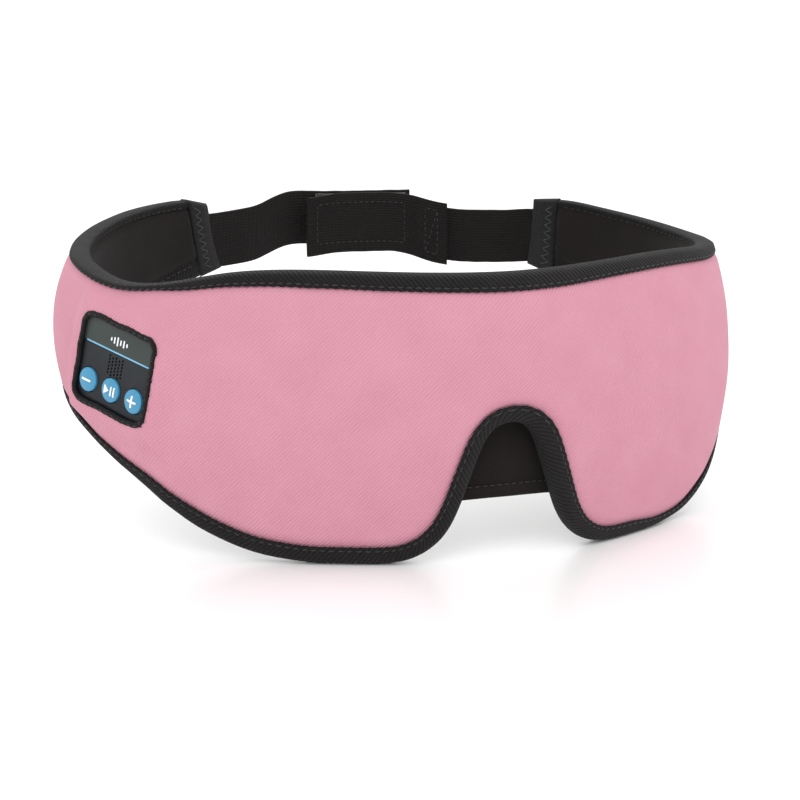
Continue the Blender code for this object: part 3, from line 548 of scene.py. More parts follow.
def elastic(name, dark, light):
    """Woven elastic: cords along the strap, crossed by fine picks."""
    r = Recipe(name, 0.72, Sheen_Weight=0.02, Sheen_Roughness=0.35, Specular_IOR_Level=0.22)
    fine = r.noise(0.28, 2)
    cord = r.ribs((0, 1, 0), 1.05, wobble=r.math("MULTIPLY", r.noise(5.0, 1), 0.6))
    pick = r.ribs((1, 0, 0), 0.60)
    wear = r.noise(11.0, 2)
    r.colour(r.total((cord, 0.20), (pick, 0.14), (fine, 0.30), (wear, 0.40)), dark, light)
    return r.bump(r.total((cord, 0.6), (pick, 0.45), (fine, 0.3)), 0.16)


def hooks(name, dark, light):
    """Rows of tiny moulded hooks."""
    r = Recipe(name, 0.42)
    rows = r.math("MULTIPLY", r.ribs((1, 0, 0), 0.9), r.ribs((0, 1, 0), 0.9))
    lean = r.ribs((1, 0.35, 0), 0.9)
    r.colour(r.total((rows, 0.5), (lean, 0.2), (r.noise(0.6), 0.4)), dark, light)
    return r.bump(r.total((rows, 0.8), (lean, 0.4)), 0.35)


def loops(name, dark, light):
    """A felt of fine loops."""
    r = Recipe(name, 0.9, Sheen_Weight=0.5, Sheen_Roughness=0.4)
    fuzz, tufts = r.noise(0.25, 4, 0.75), r.cells(0.8)
    r.colour(r.total((fuzz, 0.7), (tufts, 0.35)), dark, light)
    return r.bump(r.total((fuzz, 0.8), (tufts, 0.6)), 0.3)


def thread(name, dark, light):
    """Two-ply sewing thread."""
    r = Recipe(name, 0.5, place="body", Sheen_Weight=0.1)
    ply = r.ribs((1, 1, 1), 0.5)
    r.colour(r.total((ply, 0.3), (r.noise(3.0), 0.9)), dark, light)
    return r.bump(ply, 0.06)


def moulded(name, dark, light, roughness=0.42, grain=0.25, depth=0.03, **sockets):
    """Injection-moulded plastic or silicone with a fine spark-eroded grain and faint handling marks."""
    r = Recipe(name, roughness, place="body", **sockets)
    fine, rub = r.noise(grain, 2), r.noise(5.0, 4, 0.6)
    r.colour(r.total((fine, 0.25), (rub, 0.75)), dark, light)
    r.roughness(rub, roughness - 0.10, roughness + 0.12)
    return r.bump(fine, depth)


def metal(name, dark, light, roughness=0.28):
    r = Recipe(name, roughness, place="body", Metallic=1.0)
    brush = r.ribs((0.2, 1, 0.4), 0.12, wobble=r.math("MULTIPLY", r.noise(0.8, 2), 4.0))
    r.colour(r.total((brush, 0.2), (r.noise(2.5, 3), 0.9)), dark, light)
    r.roughness(r.noise(1.5, 3), roughness - 0.08, roughness + 0.15)
    return r.bump(brush, 0.01)


def sponge(name, dark, light):
    """Open-cell foam."""
    r = Recipe(name, 0.95, place="body")
    cell = r.cells(0.7)
    r.colour(r.total((cell, 0.9), (r.noise(8.0), 0.3)), dark, light)
    return r.bump(cell, 0.4)


def plate_look(name, dark, light):
    """The plate: a lighter slate band above the line, running to navy black below, in satin plastic."""
    r = Recipe(name, 0.40, place="weave", Specular_IOR_Level=0.32)
    height = r.along((0, 1, 0))
    above = r.math("GREATER_THAN", height, ACCENT_ROW / MM)
    grain = r.noise(0.3, 2)
    shade = r.total((above, 0.68), (height, 0.008), (grain, 0.06), (r.noise(6.0, 3), 0.14))
    r.colour(r.math("ADD", shade, -0.02, clamp=True), dark, light)
    r.roughness(r.noise(4.0, 4), 0.34, 0.50)
    return r.bump(grain, 0.02)


LOOKS = {
    "pink twill": twill("pink twill", (0.53, 0.200, 0.275), (0.66, 0.325, 0.41)).material,
    "black tape": tape("black tape", (0.0035, 0.003, 0.003), (0.024, 0.021, 0.022)).material,
    "border tape": tape("border tape", (0.004, 0.0035, 0.004), (0.020, 0.017, 0.018),
                        pitch=0.8, lean=0.2).material,
    "hem cloth": twill("hem cloth", (0.005, 0.0045, 0.005), (0.028, 0.026, 0.027), pitch=0.8).material,
    "black knit": knit("black knit", (0.004, 0.003, 0.003), (0.020, 0.014, 0.014)).material,
    "cup knit": knit("cup knit", (0.004, 0.003, 0.003), (0.018, 0.013, 0.013), loop=0.6).material,
    "black elastic": elastic("black elastic", (0.0035, 0.0025, 0.0024), (0.015, 0.011, 0.010)).material,
    "hooks": hooks("hooks", (0.004, 0.004, 0.004), (0.050, 0.048, 0.05)).material,
    "loops": loops("loops", (0.004, 0.004, 0.004), (0.055, 0.050, 0.052)).material,
    "black thread": thread("black thread", (0.005, 0.0045, 0.005), (0.026, 0.023, 0.024)).material,
    "grey thread": thread("grey thread", (0.018, 0.017, 0.018), (0.070, 0.066, 0.068)).material,
    "plate": plate_look("plate", (0.004, 0.006, 0.010), (0.046, 0.058, 0.053)).material,
    "black plastic": moulded("black plastic", (0.010, 0.010, 0.011), (0.028, 0.028, 0.030)).material,
    "blue silicone": moulded("blue silicone", (0.030, 0.215, 0.40), (0.062, 0.32, 0.51), roughness=0.33,
                             grain=0.4, depth=0.015, Subsurface_Weight=0.12, Subsurface_Scale=0.002,
                             Coat_Weight=0.2).material,
    "white sign": moulded("white sign", (0.78, 0.82, 0.86), (0.95, 0.96, 0.97), roughness=0.35,
                          depth=0.01).material,
    "blue line": moulded("blue line", (0.12, 0.42, 0.70), (0.30, 0.62, 0.85), roughness=0.35,
                         depth=0.01).material,
    "green board": moulded("green board", (0.004, 0.06, 0.02), (0.012, 0.13, 0.05), roughness=0.35).material,
    "battery wrap": moulded("battery wrap", (0.40, 0.42, 0.45), (0.62, 0.64, 0.67), roughness=0.38,
                            depth=0.05).material,
    "bright metal": metal("bright metal", (0.52, 0.52, 0.54), (0.82, 0.82, 0.84)).material,
    "red lamp": moulded("red lamp", (0.35, 0.02, 0.015), (0.65, 0.06, 0.04), roughness=0.25,
                        Emission_Color=(1.0, 0.08, 0.04, 1), Emission_Strength=1.5).material,
    "speaker film": moulded("speaker film", (0.05, 0.05, 0.055), (0.10, 0.10, 0.11), roughness=0.3).material,
    "foam": sponge("foam", (0.02, 0.02, 0.022), (0.085, 0.085, 0.09)).material,
}


# ---- the shell: cover, lining, tapes and hems ---------------------------------------------
COLUMN_STEP = 1.15 * MM


def columns():
    """For each column of the shell, its places along the lower edge and along the top edge."""
    near = 60 * MM
    start, middle, end = (LOWER.length_at(s) for s in (-near, 0, near))
    count = round((end - middle) / COLUMN_STEP)
    share = np.linspace(-1, 1, 2 * count + 1)
    low = middle + share * np.where(share > 0, end - middle, middle - start)
    pairs = np.stack([low, TOP.length_at(share * near)], axis=1)
    for side in (1, -1):
        end_index = -1 if side > 0 else 0
        low_last, top_last = (abs(p.fine[end_index, 0]) - EDGE_INSET for p in (LOWER, TOP))
        t = np.linspace(0, 1, round((low_last - near) / COLUMN_STEP) + 1)[1:, None]
        wing_s = near + t * (np.array([low_last, top_last]) - near)
        wing = np.stack([p.length_at(side * wing_s[:, k]) for k, p in enumerate((LOWER, TOP))], axis=1)
        pairs = np.concatenate([pairs, wing] if side > 0 else [wing[::-1], pairs])
    return pairs


def body_swell(s, z, seed):
    """The slow unevenness of cloth stretched over foam, and short puckers where the tape holds it."""
    v = height_share(s, z)
    broad = uneven(s / 0.034, z / 0.026, seed)
    fine = uneven(s / 0.0075, z / 0.030, seed + 4.6)
    middle = 4 * v * (1 - v)
    near_edge = np.exp(-np.minimum(z - LOWER.z_at(s), TOP.z_at(s) - z) / (8 * MM))
    return broad * 0.55 * MM * middle + fine * 0.35 * MM * near_edge


def shell_grid():
    """(s, z) of the shell's fine grid, and each point's distance in from its nearer bound edge."""
    pairs = columns()
    insets = np.array([1.1, 1.8, 2.6, 3.4, 4.2, 5.0, 5.8, 6.6, 7.4, 8.2, 9.0, 9.8, 10.8, 11.8]) * MM
    lower = [LOWER.inset(pairs[:, 0], np.full(len(pairs), d)) for d in insets]
    upper = [TOP.inset(pairs[:, 1], np.full(len(pairs), -d)) for d in insets[::-1]]
    shares = np.linspace(0, 1, 58)[1:-1]
    body = [lower[-1] + t * (upper[0] - lower[-1]) for t in shares]
    grid = np.stack(lower + body + upper, axis=1)
    edge = np.r_[insets, np.full(len(shares), insets[-1]), insets[::-1]]
    return grid, np.broadcast_to(edge, grid.shape[:2])


def tape_width(s, top, inner=False):
    """How far in from its edge a tape reaches, on the outer face or on the face against the head."""
    if inner:
        return TAPE_WIDTH - top * 3.6 * MM * smooth_step(np.abs(s), 95 * MM, 120 * MM)
    lower, upper = (np.interp(s, *np.array(table).T * MM) for table in (LOWER_TAPE_SHOWS, TOP_TAPE_SHOWS))
    return np.where(top, upper, lower)


def hem_distance(s, z):
    """How far a place is from the wing's slanting end, whose hem covers HEM_CLEAR of it."""
    v = height_share(s, z)
    ends = [np.where(s > 0, p.fine[-1, 0], -p.fine[0, 0]) for p in (LOWER, TOP)]
    return ends[0] + v * (ends[1] - ends[0]) - np.abs(s)


def in_rounded(x, y, width, height, radius):
    dx = np.maximum(np.abs(x) - (width / 2 - radius), 0)
    dy = np.maximum(np.abs(y) - (height / 2 - radius), 0)
    return (np.hypot(dx, dy) < radius) & (np.abs(x) < width / 2) & (np.abs(y) < height / 2)


def keep_faces(faces, keep_point):
    """The faces that have no point to be left out."""
    return [f for f in faces if all(keep_point[k] for k in f)]


def without_loose(points, faces, *others):
    """Drops the points that no face uses."""
    used = np.unique(np.concatenate([np.array(f) for f in faces]))
    place = np.full(len(points), -1)
    place[used] = np.arange(len(used))
    faces = [tuple(int(place[k]) for k in f) for f in faces]
    return [points[used], faces, *(o[used] for o in others)]


def build_cover_and_lining():
    grid, edge = shell_grid()
    s, z = grid[..., 0], grid[..., 1]
    rows, count = s.shape
    at_hem = 1 - smooth_step(hem_distance(s, z), 10.0 * MM, 13.5 * MM)
    top = np.broadcast_to(np.arange(count) > count // 2, s.shape)
    past_tape = [edge - tape_width(s, top, inner) for inner in (False, True)]
    hidden = [1 - smooth_step(past, -0.8 * MM, 2.8 * MM) for past in past_tape]
    down_to_hem = 1 - smooth_step(hem_distance(s, z), 9.8 * MM, 11.4 * MM)
    tucked, tucked_inside = np.maximum(hidden[0], at_hem), np.maximum(hidden[1], down_to_hem)
    weave = np.stack([s, z, np.zeros_like(s)], axis=-1).reshape(-1, 3) / MM

    swell = body_swell(s, z, 3.1) * (1 - tucked)
    local = panel_local(at_offset(s, z, skin(s, z)))
    across, up = np.abs(local[..., 0]), np.abs(local[..., 1])
    near_panel = 1 - smooth_step(np.maximum(across - BORDER_WIDTH / 2, up - BORDER_HEIGHT / 2), 0, 6 * MM)
    outer = at_offset(s, z, skin(s, z) + swell * (1 - near_panel) - tucked * COVER_AT_RIM).reshape(-1, 3)
    hole = in_rounded(across, up, MODULE_WIDTH - 0.6 * MM, MODULE_HEIGHT - 0.6 * MM, 3.6 * MM)
    faces = keep_faces(grid_faces(rows, count, flip=True), ~hole.ravel())
    points, faces, cloth = without_loose(outer, faces, weave)
    cover = add_mesh("cover_cloth", points, faces, LOOKS["pink twill"], cloth)
    solidify(cover, CLOTH)
    ride_on("shell", "pink_twill", cover)
    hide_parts("outer_cover")

    inner_depth = thickness(s, z)
    swell = body_swell(s, z, 12.4) * 0.6 * (1 - tucked_inside)
    disc = np.hypot(np.abs(s) - SPEAKER_S, z - SPEAKER_Z)
    bump = 0.9 * MM * (1 - smooth_step(disc, SPEAKER_RADIUS - 1.5 * MM, SPEAKER_RADIUS + 2.5 * MM))
    eye = np.hypot((np.abs(s) - EYE_S) / EYE_HALF_WIDTH, (z - EYE_Z) / EYE_HALF_HEIGHT)
    lip = 0.5 * MM * np.exp(-(((eye - 1.16) / 0.10) ** 2))
    depth = inner_depth + swell + bump + lip - tucked_inside * (RIM_THICKNESS - 4.75 * MM)
    depth -= down_to_hem * (inner_depth - RIM_THICKNESS)
    inner = at_offset(s, z, np.minimum(skin(s, z), free_skin(s, z)) - depth).reshape(-1, 3)
    faces = keep_faces(grid_faces(rows, count), (eye > 0.99).ravel())
    points, faces, cloth = without_loose(inner, faces, weave)
    lining = add_mesh("lining_cloth", points, faces, LOOKS["black knit"], cloth)
    solidify(lining, CLOTH)
    ride_on("shell", "black_lining", lining)
    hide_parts("inner_lining")
    return cover, lining


def tape_section():
    """(distance in from the edge, depth) round a folded tape: a soft roll, fuller on the outer side."""
    mid, half = RIM_THICKNESS / 2, RIM_THICKNESS / 2 + 0.42 * MM
    edge, nose = TAPE_WIDTH, 2.7 * MM

    def lift(d):
        return 0.82 * MM * math.sqrt(max(1 - ((d - nose) / (edge - nose + 0.25 * MM)) ** 2, 0))

    points = [(d, 0.50 * MM - lift(d)) for d in np.linspace(edge, nose, 9)]
    for a in np.radians(np.linspace(75, -75, 9)):
        points.append((nose - 2.8 * MM * math.cos(a) ** 0.8, mid - half * math.sin(a)))
    points += [(d, RIM_THICKNESS - 0.50 * MM + lift(d)) for d in np.linspace(nose, edge, 9)]
    inside = [(edge - 0.3 * MM, RIM_THICKNESS - TAPE_CLOTH - 0.1 * MM), (2.6 * MM, RIM_THICKNESS - 0.6 * MM),
              (0.9 * MM, mid), (2.6 * MM, 0.6 * MM), (edge - 0.3 * MM, TAPE_CLOTH + 0.2 * MM)]
    return np.array(points + inside), len(points)


def build_tape(name, path, sign, length_from, length_to, stitches_name, node):
    """A tape folded over one edge of the shell, its rim drawn in a little by each stitch."""
    section, outside = tape_section()
    length = np.arange(length_from, length_to, 0.85 * MM)
    pitch = 2.8 * MM
    pull = 0.5 - 0.5 * np.cos(2 * math.pi * length / pitch)
    rings, weave = [], []
    across = np.r_[0, np.cumsum(np.linalg.norm(np.diff(section, axis=0), axis=1))]
    at_rim = np.exp(-(((TAPE_WIDTH - section[:, 0]) / (0.9 * MM)) ** 2))
    groove = np.exp(-(((section[:, 0] - 5.3 * MM) / (0.55 * MM)) ** 2)) * 0.30 * MM
    groove[outside:] = 0
    mid = RIM_THICKNESS / 2
    full = 1 - 0.17 * (1 - smooth_step(np.minimum(length - length_from, length_to - length), 0, 5 * MM))
    top = sign < 0
    along = np.array([path.point(v)[0] for v in length])
    reach = [tape_width(along, top, inner) / TAPE_WIDTH for inner in (False, True)]
    for (d, depth), a, rim, sink in zip(section, across, at_rim, groove):
        inner_share = smooth_step(depth, 1.0 * MM, RIM_THICKNESS - 1.0 * MM)
        here = d * (reach[0] + inner_share * (reach[1] - reach[0])) if d > 0 else d
        place = path.inset(length, sign * (here + rim * 0.22 * MM * (pull - 0.5)))
        wave = uneven(length / 0.011, d / 0.006, depth / 0.004) * 0.16 * MM
        rise = abs(depth - mid) + wave - sink * (0.35 + 0.65 * pull)
        rings.append(below_skin(place[:, 0], place[:, 1], mid + math.copysign(1, depth - mid) * rise * full))
        weave.append(np.stack([length, np.full_like(length, a), np.zeros_like(length)], axis=-1) / MM)
    points, weave = np.stack(rings, axis=1), np.stack(weave, axis=1)
    faces = tube_faces(len(length), len(section))
    made = outwards(add_mesh(name, points, faces, LOOKS["black tape"], weave.reshape(-1, 3)))
    starts, ends, outs = [], [], []
    for depth, side in ((-0.02 * MM, 1), (RIM_THICKNESS + 0.02 * MM, -1)):
        knots = np.arange(length_from + 4 * MM, length_to - 5 * MM, pitch)
        along = np.array([path.point(v)[0] for v in knots])
        seam = sign * 5.3 * MM * tape_width(along, top, side < 0) / TAPE_WIDTH
        one, two = (path.inset(knots + k, seam) for k in (0, 1.9 * MM))
        starts += list(below_skin(one[:, 0], one[:, 1], depth))
        ends += list(below_skin(two[:, 0], two[:, 1], depth))
        n = plan_normal(one[:, 0]) * side
        outs += list(np.concatenate([n, np.zeros((len(n), 1))], axis=1))
    sewn = stitch_row(stitches_name, starts, ends, outs, LOOKS["black thread"])
    ride_on("shell", "black_binding", made, sewn)
    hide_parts(node)
    return made


def hem_point(end, share, d):
    """(s, z) on a wing's hem: share runs up the slanting end and d runs in from it."""
    side = 1 if end else -1
    low, top = LOWER.fine[-1 if end else 0], TOP.fine[-1 if end else 0]
    low_in, top_in = (p.point(p.length_at(q[0] - side * HEM_WIDTH)) for p, q in ((LOWER, low), (TOP, top)))
    edge = low + share[..., None] * (top - low)
    inner = low_in + share[..., None] * (top_in - low_in)
    return edge + (inner - edge) * (np.asarray(d) / HEM_WIDTH)[..., None]


def build_hem(name, end, node, stitches_name):
    """The folded strip that closes a wing's end and holds the elastic, with its zigzag stitches."""
    mid = RIM_THICKNESS / 2
    profile = [(10.4, 0.25), (9.8, -0.28), (8.6, -0.42), (6.8, -0.42), (5.0, -0.30), (3.4, 0.05),
               (2.0, 0.70), (0.9, 1.35), (0.1, 1.85), (-0.15, 2.40)]
    outer = [(d * MM, depth * MM) for d, depth in profile]
    section = outer + [(d, RIM_THICKNESS - depth) for d, depth in reversed(outer)]
    section += [(9.9 * MM, RIM_THICKNESS - 1.0 * MM), (3.6 * MM, RIM_THICKNESS - 1.3 * MM), (2.2 * MM, mid),
                (3.6 * MM, 1.3 * MM), (9.9 * MM, 1.0 * MM)]
    section = np.array(section)
    across = np.r_[0, np.cumsum(np.linalg.norm(np.diff(section, axis=0), axis=1))]
    share = np.linspace(-0.016, 1.016, 42)
    rise = 25.0 * MM
    from_tip = np.clip((0.516 - np.abs(share - 0.5)) / 0.07, 0, 1)
    full = 0.30 + 0.70 * np.sqrt(1 - (1 - from_tip) ** 2)
    rings, weave = [], []
    for (d, depth), a in zip(section, across):
        place = hem_point(end, share, np.full_like(share, d))
        wave = uneven(share * 4.0, d / 0.005, depth / 0.004 + end * 7)
        rings.append(below_skin(place[:, 0], place[:, 1], mid + (depth - mid) * (full + 0.05 * wave)))
        weave.append(np.stack([share * rise, np.full_like(share, a), np.zeros_like(share)], axis=-1) / MM)
    points, weave = np.stack(rings, axis=1), np.stack(weave, axis=1)
    faces = tube_faces(len(share), len(section))
    made = outwards(add_mesh(name, points, faces, LOOKS["hem cloth"], weave.reshape(-1, 3)))
    starts, ends, outs = [], [], []
    count = 15
    for depth, side in ((-0.42 * MM, 1), (RIM_THICKNESS + 0.42 * MM, -1)):
        t = np.linspace(0.08, 0.92, count + 1)
        d = np.where(np.arange(count + 1) % 2 == 0, 5.4 * MM, 8.4 * MM)
        place = hem_point(end, t, d)
        knots = below_skin(place[:, 0], place[:, 1], depth)
        starts += list(knots[:-1])
        ends += list(knots[1:])
        n = plan_normal(place[:-1, 0]) * side
        outs += list(np.concatenate([n, np.zeros((len(n), 1))], axis=1))
    sewn = stitch_row(stitches_name, starts, ends, outs, LOOKS["grey thread"], radius=0.20 * MM)
    ride_on("shell", "black_binding", made, sewn)
    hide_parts(node)


def build_edges():
    clear = HEM_CLEAR - 1.3 * MM
    ends = [(p.length_at(p.fine[0, 0] + clear), p.length_at(p.fine[-1, 0] - clear)) for p in (LOWER, TOP)]
    build_tape("lower_tape", LOWER, 1, *ends[0], "lower_tape_stitches", "bottom_binding")
    build_tape("upper_tape", TOP, -1, *ends[1], "upper_tape_stitches", "top_binding")
    build_hem("right_hem_cloth", 0, "right_wing_hem", "right_hem_stitches")
    build_hem("left_hem_cloth", 1, "left_wing_hem", "left_hem_stitches")


# ---- eye cups and nose flap -----------------------------------------------------------------
def build_eye_cup(label, side):
    """A moulded bowl with a rolled, stitched lip."""
    shares = np.r_[1.13, 1.10, 1.06, 1.02, 0.985, 0.96, np.linspace(0.93, 0.02, 20)]
    around = np.radians(np.arange(0, 360, 4))
    share, angle = np.meshgrid(shares, around, indexing="ij")
    s = side * (EYE_S + EYE_HALF_WIDTH * share * np.cos(angle))
    z = EYE_Z + EYE_HALF_HEIGHT * share * np.sin(angle)
    bowl = EYE_DEPTH * (1 - smooth_step(share, 0.10, 1.02)) ** 0.75
    lip = 0.75 * MM * np.exp(-(((share - 1.06) / 0.055) ** 2))
    crease = 0.25 * MM * uneven(s.ravel() * 90, z.ravel() * 90, 1.7)
    inside = 1 - smooth_step(share, 0.9, 1.0)
    depth = thickness(s, z) - bowl + lip + 0.12 * MM + crease.reshape(s.shape) * inside
    points = below_skin(s, z, depth).reshape(-1, 3)
    rows, count = s.shape
    faces = grid_faces(rows, count, close_columns=True)
    faces.append(tuple((rows - 1) * count + j for j in range(count)))
    if side > 0:
        faces = [f[::-1] for f in faces]
    weave = np.stack([s, z, np.zeros_like(s)], axis=-1).reshape(-1, 3) / MM
    cup = add_mesh(f"{label}_eye_bowl", points, faces, LOOKS["cup knit"], weave)
    solidify(cup, 0.7 * MM)
    ring = np.radians(np.arange(0, 360, 5.2))

    def on_lip(a):
        s, z = side * (EYE_S + EYE_HALF_WIDTH * 1.11 * np.cos(a)), EYE_Z + EYE_HALF_HEIGHT * 1.11 * np.sin(a)
        return s, below_skin(s, z, thickness(s, z) + 0.75 * MM)

    s, starts = on_lip(ring)
    ends = on_lip(ring + math.radians(3.6))[1]
    outs = np.concatenate([-plan_normal(s), np.zeros((len(s), 1))], axis=1)
    sewn = stitch_row(f"{label}_eye_bowl_stitches", starts, ends, outs, LOOKS["black thread"])
    ride_on("shell", "black_lining", cup, sewn)
    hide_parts(f"{label}_eye_cup")


FLAP_TOP_Z = 12.0 * MM
FLAP_BOTTOM_Z = -18.8 * MM
FLAP_TOP_HALF = 10.0 * MM
FLAP_BOTTOM_HALF = 20.5 * MM
FLAP_CLOTH = 1.0 * MM
FLAP_DEPTH = RIM_THICKNESS + 1.9 * MM


def build_nose_flap():
    """The soft flap behind the nose notch: a bowed sheet with a turned and stitched lower hem."""
    base = free_skin(0, LOWER.z_at(0)) - FLAP_DEPTH
    t, u = np.meshgrid(np.linspace(0, 1, 44), np.linspace(-1, 1, 53), indexing="ij")
    z = FLAP_TOP_Z + t * (FLAP_BOTTOM_Z - FLAP_TOP_Z) + 0.9 * MM * t * (1 - u**2)
    half = FLAP_TOP_HALF + t * (FLAP_BOTTOM_HALF - FLAP_TOP_HALF)
    crumple = uneven(u * 1.3, t * 2.2, 5.5)
    side_hem = smooth_step(np.abs(u), 0.86, 0.90) * smooth_step(t, 0.1, 0.3)
    hem = 0.28 * MM * (smooth_step(t, 0.84, 0.87) + side_hem)
    s = half * u
    middle = base - FLAP_CLOTH / 2 + crumple * 0.5 * MM * t
    outer = at_offset(s, z, middle + FLAP_CLOTH / 2 + hem - 0.28 * MM)
    inner = at_offset(s, z, middle - FLAP_CLOTH / 2 - hem + 0.28 * MM)
    rows, count = u.shape
    faces = grid_faces(rows, count)
    faces += [tuple(k + rows * count for k in f[::-1]) for f in grid_faces(rows, count)]
    rim = [(i, 0) for i in range(rows)] + [(rows - 1, j) for j in range(1, count)]
    rim += [(i, count - 1) for i in range(rows - 2, -1, -1)] + [(0, j) for j in range(count - 2, 0, -1)]
    rim = [i * count + j for i, j in rim]
    faces += [(a, b, b + rows * count, a + rows * count) for a, b in zip(rim, rim[1:] + rim[:1])]
    weave = np.stack([s, z, np.zeros_like(s)], axis=-1).reshape(-1, 3) / MM
    flap = add_mesh("nose_flap_cloth", np.concatenate([outer.reshape(-1, 3), inner.reshape(-1, 3)]), faces,
                    LOOKS["black knit"], np.concatenate([weave, weave]))
    outwards(flap)
    starts, ends, outs = [], [], []
    for sign in (1, -1):
        x = np.arange(-17.5, 17.0, 2.6) * MM
        level = FLAP_BOTTOM_Z + 4.2 * MM + 0.7 * MM * (1 - (x / FLAP_BOTTOM_HALF) ** 2)
        offset = base - FLAP_CLOTH / 2 + sign * (FLAP_CLOTH / 2 + 0.1 * MM)
        starts += list(at_offset(x, level, offset))
        ends += list(at_offset(x + 1.8 * MM, level, offset))
        n = plan_normal(x) * sign
        outs += list(np.concatenate([n, np.zeros((len(n), 1))], axis=1))
    sewn = stitch_row("nose_flap_stitches", starts, ends, outs, LOOKS["black thread"], radius=0.2 * MM)
    ride_on("nose_flap", "black_lining", flap, sewn)
    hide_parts("nose_flap")


# ---- control panel -----------------------------------------------------------------------------
def rounded_rectangle(width, height, radius, centre=(0, 0), corner_steps=6):
    points = []
    for k, (sx, sy) in enumerate(((1, 1), (-1, 1), (-1, -1), (1, -1))):
        cx, cy = centre[0] + sx * (width / 2 - radius), centre[1] + sy * (height / 2 - radius)
        for i in range(corner_steps + 1):
            a = math.pi / 2 * (k + i / corner_steps)
            points.append((cx + radius * math.cos(a), cy + radius * math.sin(a)))
    return points


def circle(radius, centre=(0, 0), count=48):
    angles = [2 * math.pi * i / count for i in range(count)]
    return [(centre[0] + radius * math.cos(a), centre[1] + radius * math.sin(a)) for a in angles]


def loft(rings):
    """A closed bmesh through equal rings of points."""
    bm = bmesh.new()
    made = [[bm.verts.new(p) for p in ring] for ring in rings]
    for one, two in zip(made, made[1:]):
        for i in range(len(one)):
            j = (i + 1) % len(one)
            bm.faces.new((one[i], one[j], two[j], two[i]))
    bm.faces.new(made[0][::-1])
    bm.faces.new(made[-1])
    bmesh.ops.recalc_face_normals(bm, faces=bm.faces)
    return bm


def prism(outline, low, high, soften=0.0):
    """A flat body from an outline, with its upper rim eased inwards by soften."""
    rings = [[(x, y, low) for x, y in outline], [(x, y, high - soften) for x, y in outline]]
    if soften:
        inner = grown(outline, -soften * 0.6)
        rings.append([(x, y, high - soften * 0.25) for x, y in inner])
        rings.append([(x, y, high) for x, y in grown(outline, -soften * 1.2)])
    return loft(rings)


def turned(profile, centre=(0, 0), count=48):
    return loft([[(x, y, z) for x, y in circle(r, centre, count)] for r, z in profile])


def merged(bodies):
    together = bmesh.new()
    for body in bodies:
        mesh = bpy.data.meshes.new("piece")
        body.to_mesh(mesh)
        body.free()
        together.from_mesh(mesh)
        bpy.data.meshes.remove(mesh)
    return together


def panel_mesh(name, bm):
    """A mesh in the row frame from a bmesh in the panel's frame, with its panel place as "weave"."""
    mesh = bpy.data.meshes.new(name)
    bm.to_mesh(mesh)
    bm.free()
    place = np.zeros(len(mesh.vertices) * 3, np.float32)
    mesh.vertices.foreach_get("co", place)
    mesh.attributes.new("weave", "FLOAT_VECTOR", "POINT").data.foreach_set("vector", place / MM)
    mesh.transform(PANEL)
    return mesh


def cut(bm, cutter, operation="DIFFERENCE"):
    """The first body cut by the second, as a bmesh; both are used up."""
    made = []
    for body in (bm, cutter):
        mesh = bpy.data.meshes.new("boolean")
        body.to_mesh(mesh)
        body.free()
        made.append(bpy.data.objects.new("boolean", mesh))
        bpy.context.scene.collection.objects.link(made[-1])
    modifier = made[0].modifiers.new("cut", "BOOLEAN")
    modifier.operation, modifier.solver, modifier.object = operation, "EXACT", made[1]
    bpy.context.view_layer.update()
    graph = bpy.context.evaluated_depsgraph_get()
    result = bmesh.new()
    result.from_mesh(bpy.data.meshes.new_from_object(made[0].evaluated_get(graph)))
    for o in made:
        bpy.data.objects.remove(o)
    return result


def button_centre(k):
    return (k * BUTTON_PITCH, BUTTON_ROW)


def grown(outline, by):
    """The outline with its sides moved outwards."""
    count, result = len(outline), []
    for i in range(count):
        before, here, after = (Vector(outline[j % count]) for j in (i - 1, i, i + 1))
        one, two = (here - before).normalized(), (after - here).normalized()
        out_one, out_two = Vector((one.y, -one.x)), Vector((two.y, -two.x))
        shift = (out_one + out_two) / (1 + out_one.dot(out_two))
        result.append(tuple(here + shift * by))
    return result


def eased(outline, radius, steps=4):
    """The outline with its corners rounded."""
    count, result = len(outline), []
    for i in range(count):
        before, here, after = (Vector(outline[j % count]) for j in (i - 1, i, i + 1))
        one = here + (before - here).normalized() * radius
        two = here + (after - here).normalized() * radius
        for k in range(steps + 1):
            t = k / steps
            result.append(tuple(one * (1 - t) ** 2 + here * 2 * t * (1 - t) + two * t**2))
    return result


def icon_outlines(k):
    """The white signs, centred on 0: minus, play-pause and plus."""
    long, thin = 2.0 * MM, 0.34 * MM
    bar = [(-long, -thin), (long, -thin), (long, thin), (-long, thin)]
    if k < 0:
        return [bar]
    if k > 0:
        cross = [(-long, -thin), (-thin, -thin), (-thin, -long), (thin, -long), (thin, -thin), (long, -thin),
                 (long, thin), (thin, thin), (thin, long), (-thin, long), (-thin, thin), (-long, thin)]
        return [cross]
    triangle = [(-2.2 * MM, -1.6 * MM), (0.2 * MM, 0), (-2.2 * MM, 1.6 * MM)]
    stroke = [(0.8 * MM, -1.6 * MM), (1.3 * MM, -1.6 * MM), (1.3 * MM, 1.6 * MM), (0.8 * MM, 1.6 * MM)]
    return [triangle, stroke, [(x + 1.2 * MM, y) for x, y in stroke]]


def dome_profile(lift=0.0):
    """(radius, height) of a button's cap: a rolled rim under a low dome."""
    rim = [(0, 0.25), (0.02, 0.45), (0.12, 0.62), (0.32, 0.76)]
    rim = [(BUTTON_RADIUS - inset * MM, z * MM) for inset, z in rim]
    radii = np.linspace(BUTTON_RADIUS - 0.6 * MM, 0.15 * MM, 12)
    top = BUTTON_RADIUS - 0.32 * MM
    dome = [(r, 0.76 * MM + 0.52 * MM * (1 - (r / top) ** 2)) for r in radii]
    return [(r, z + lift) for r, z in rim + dome]


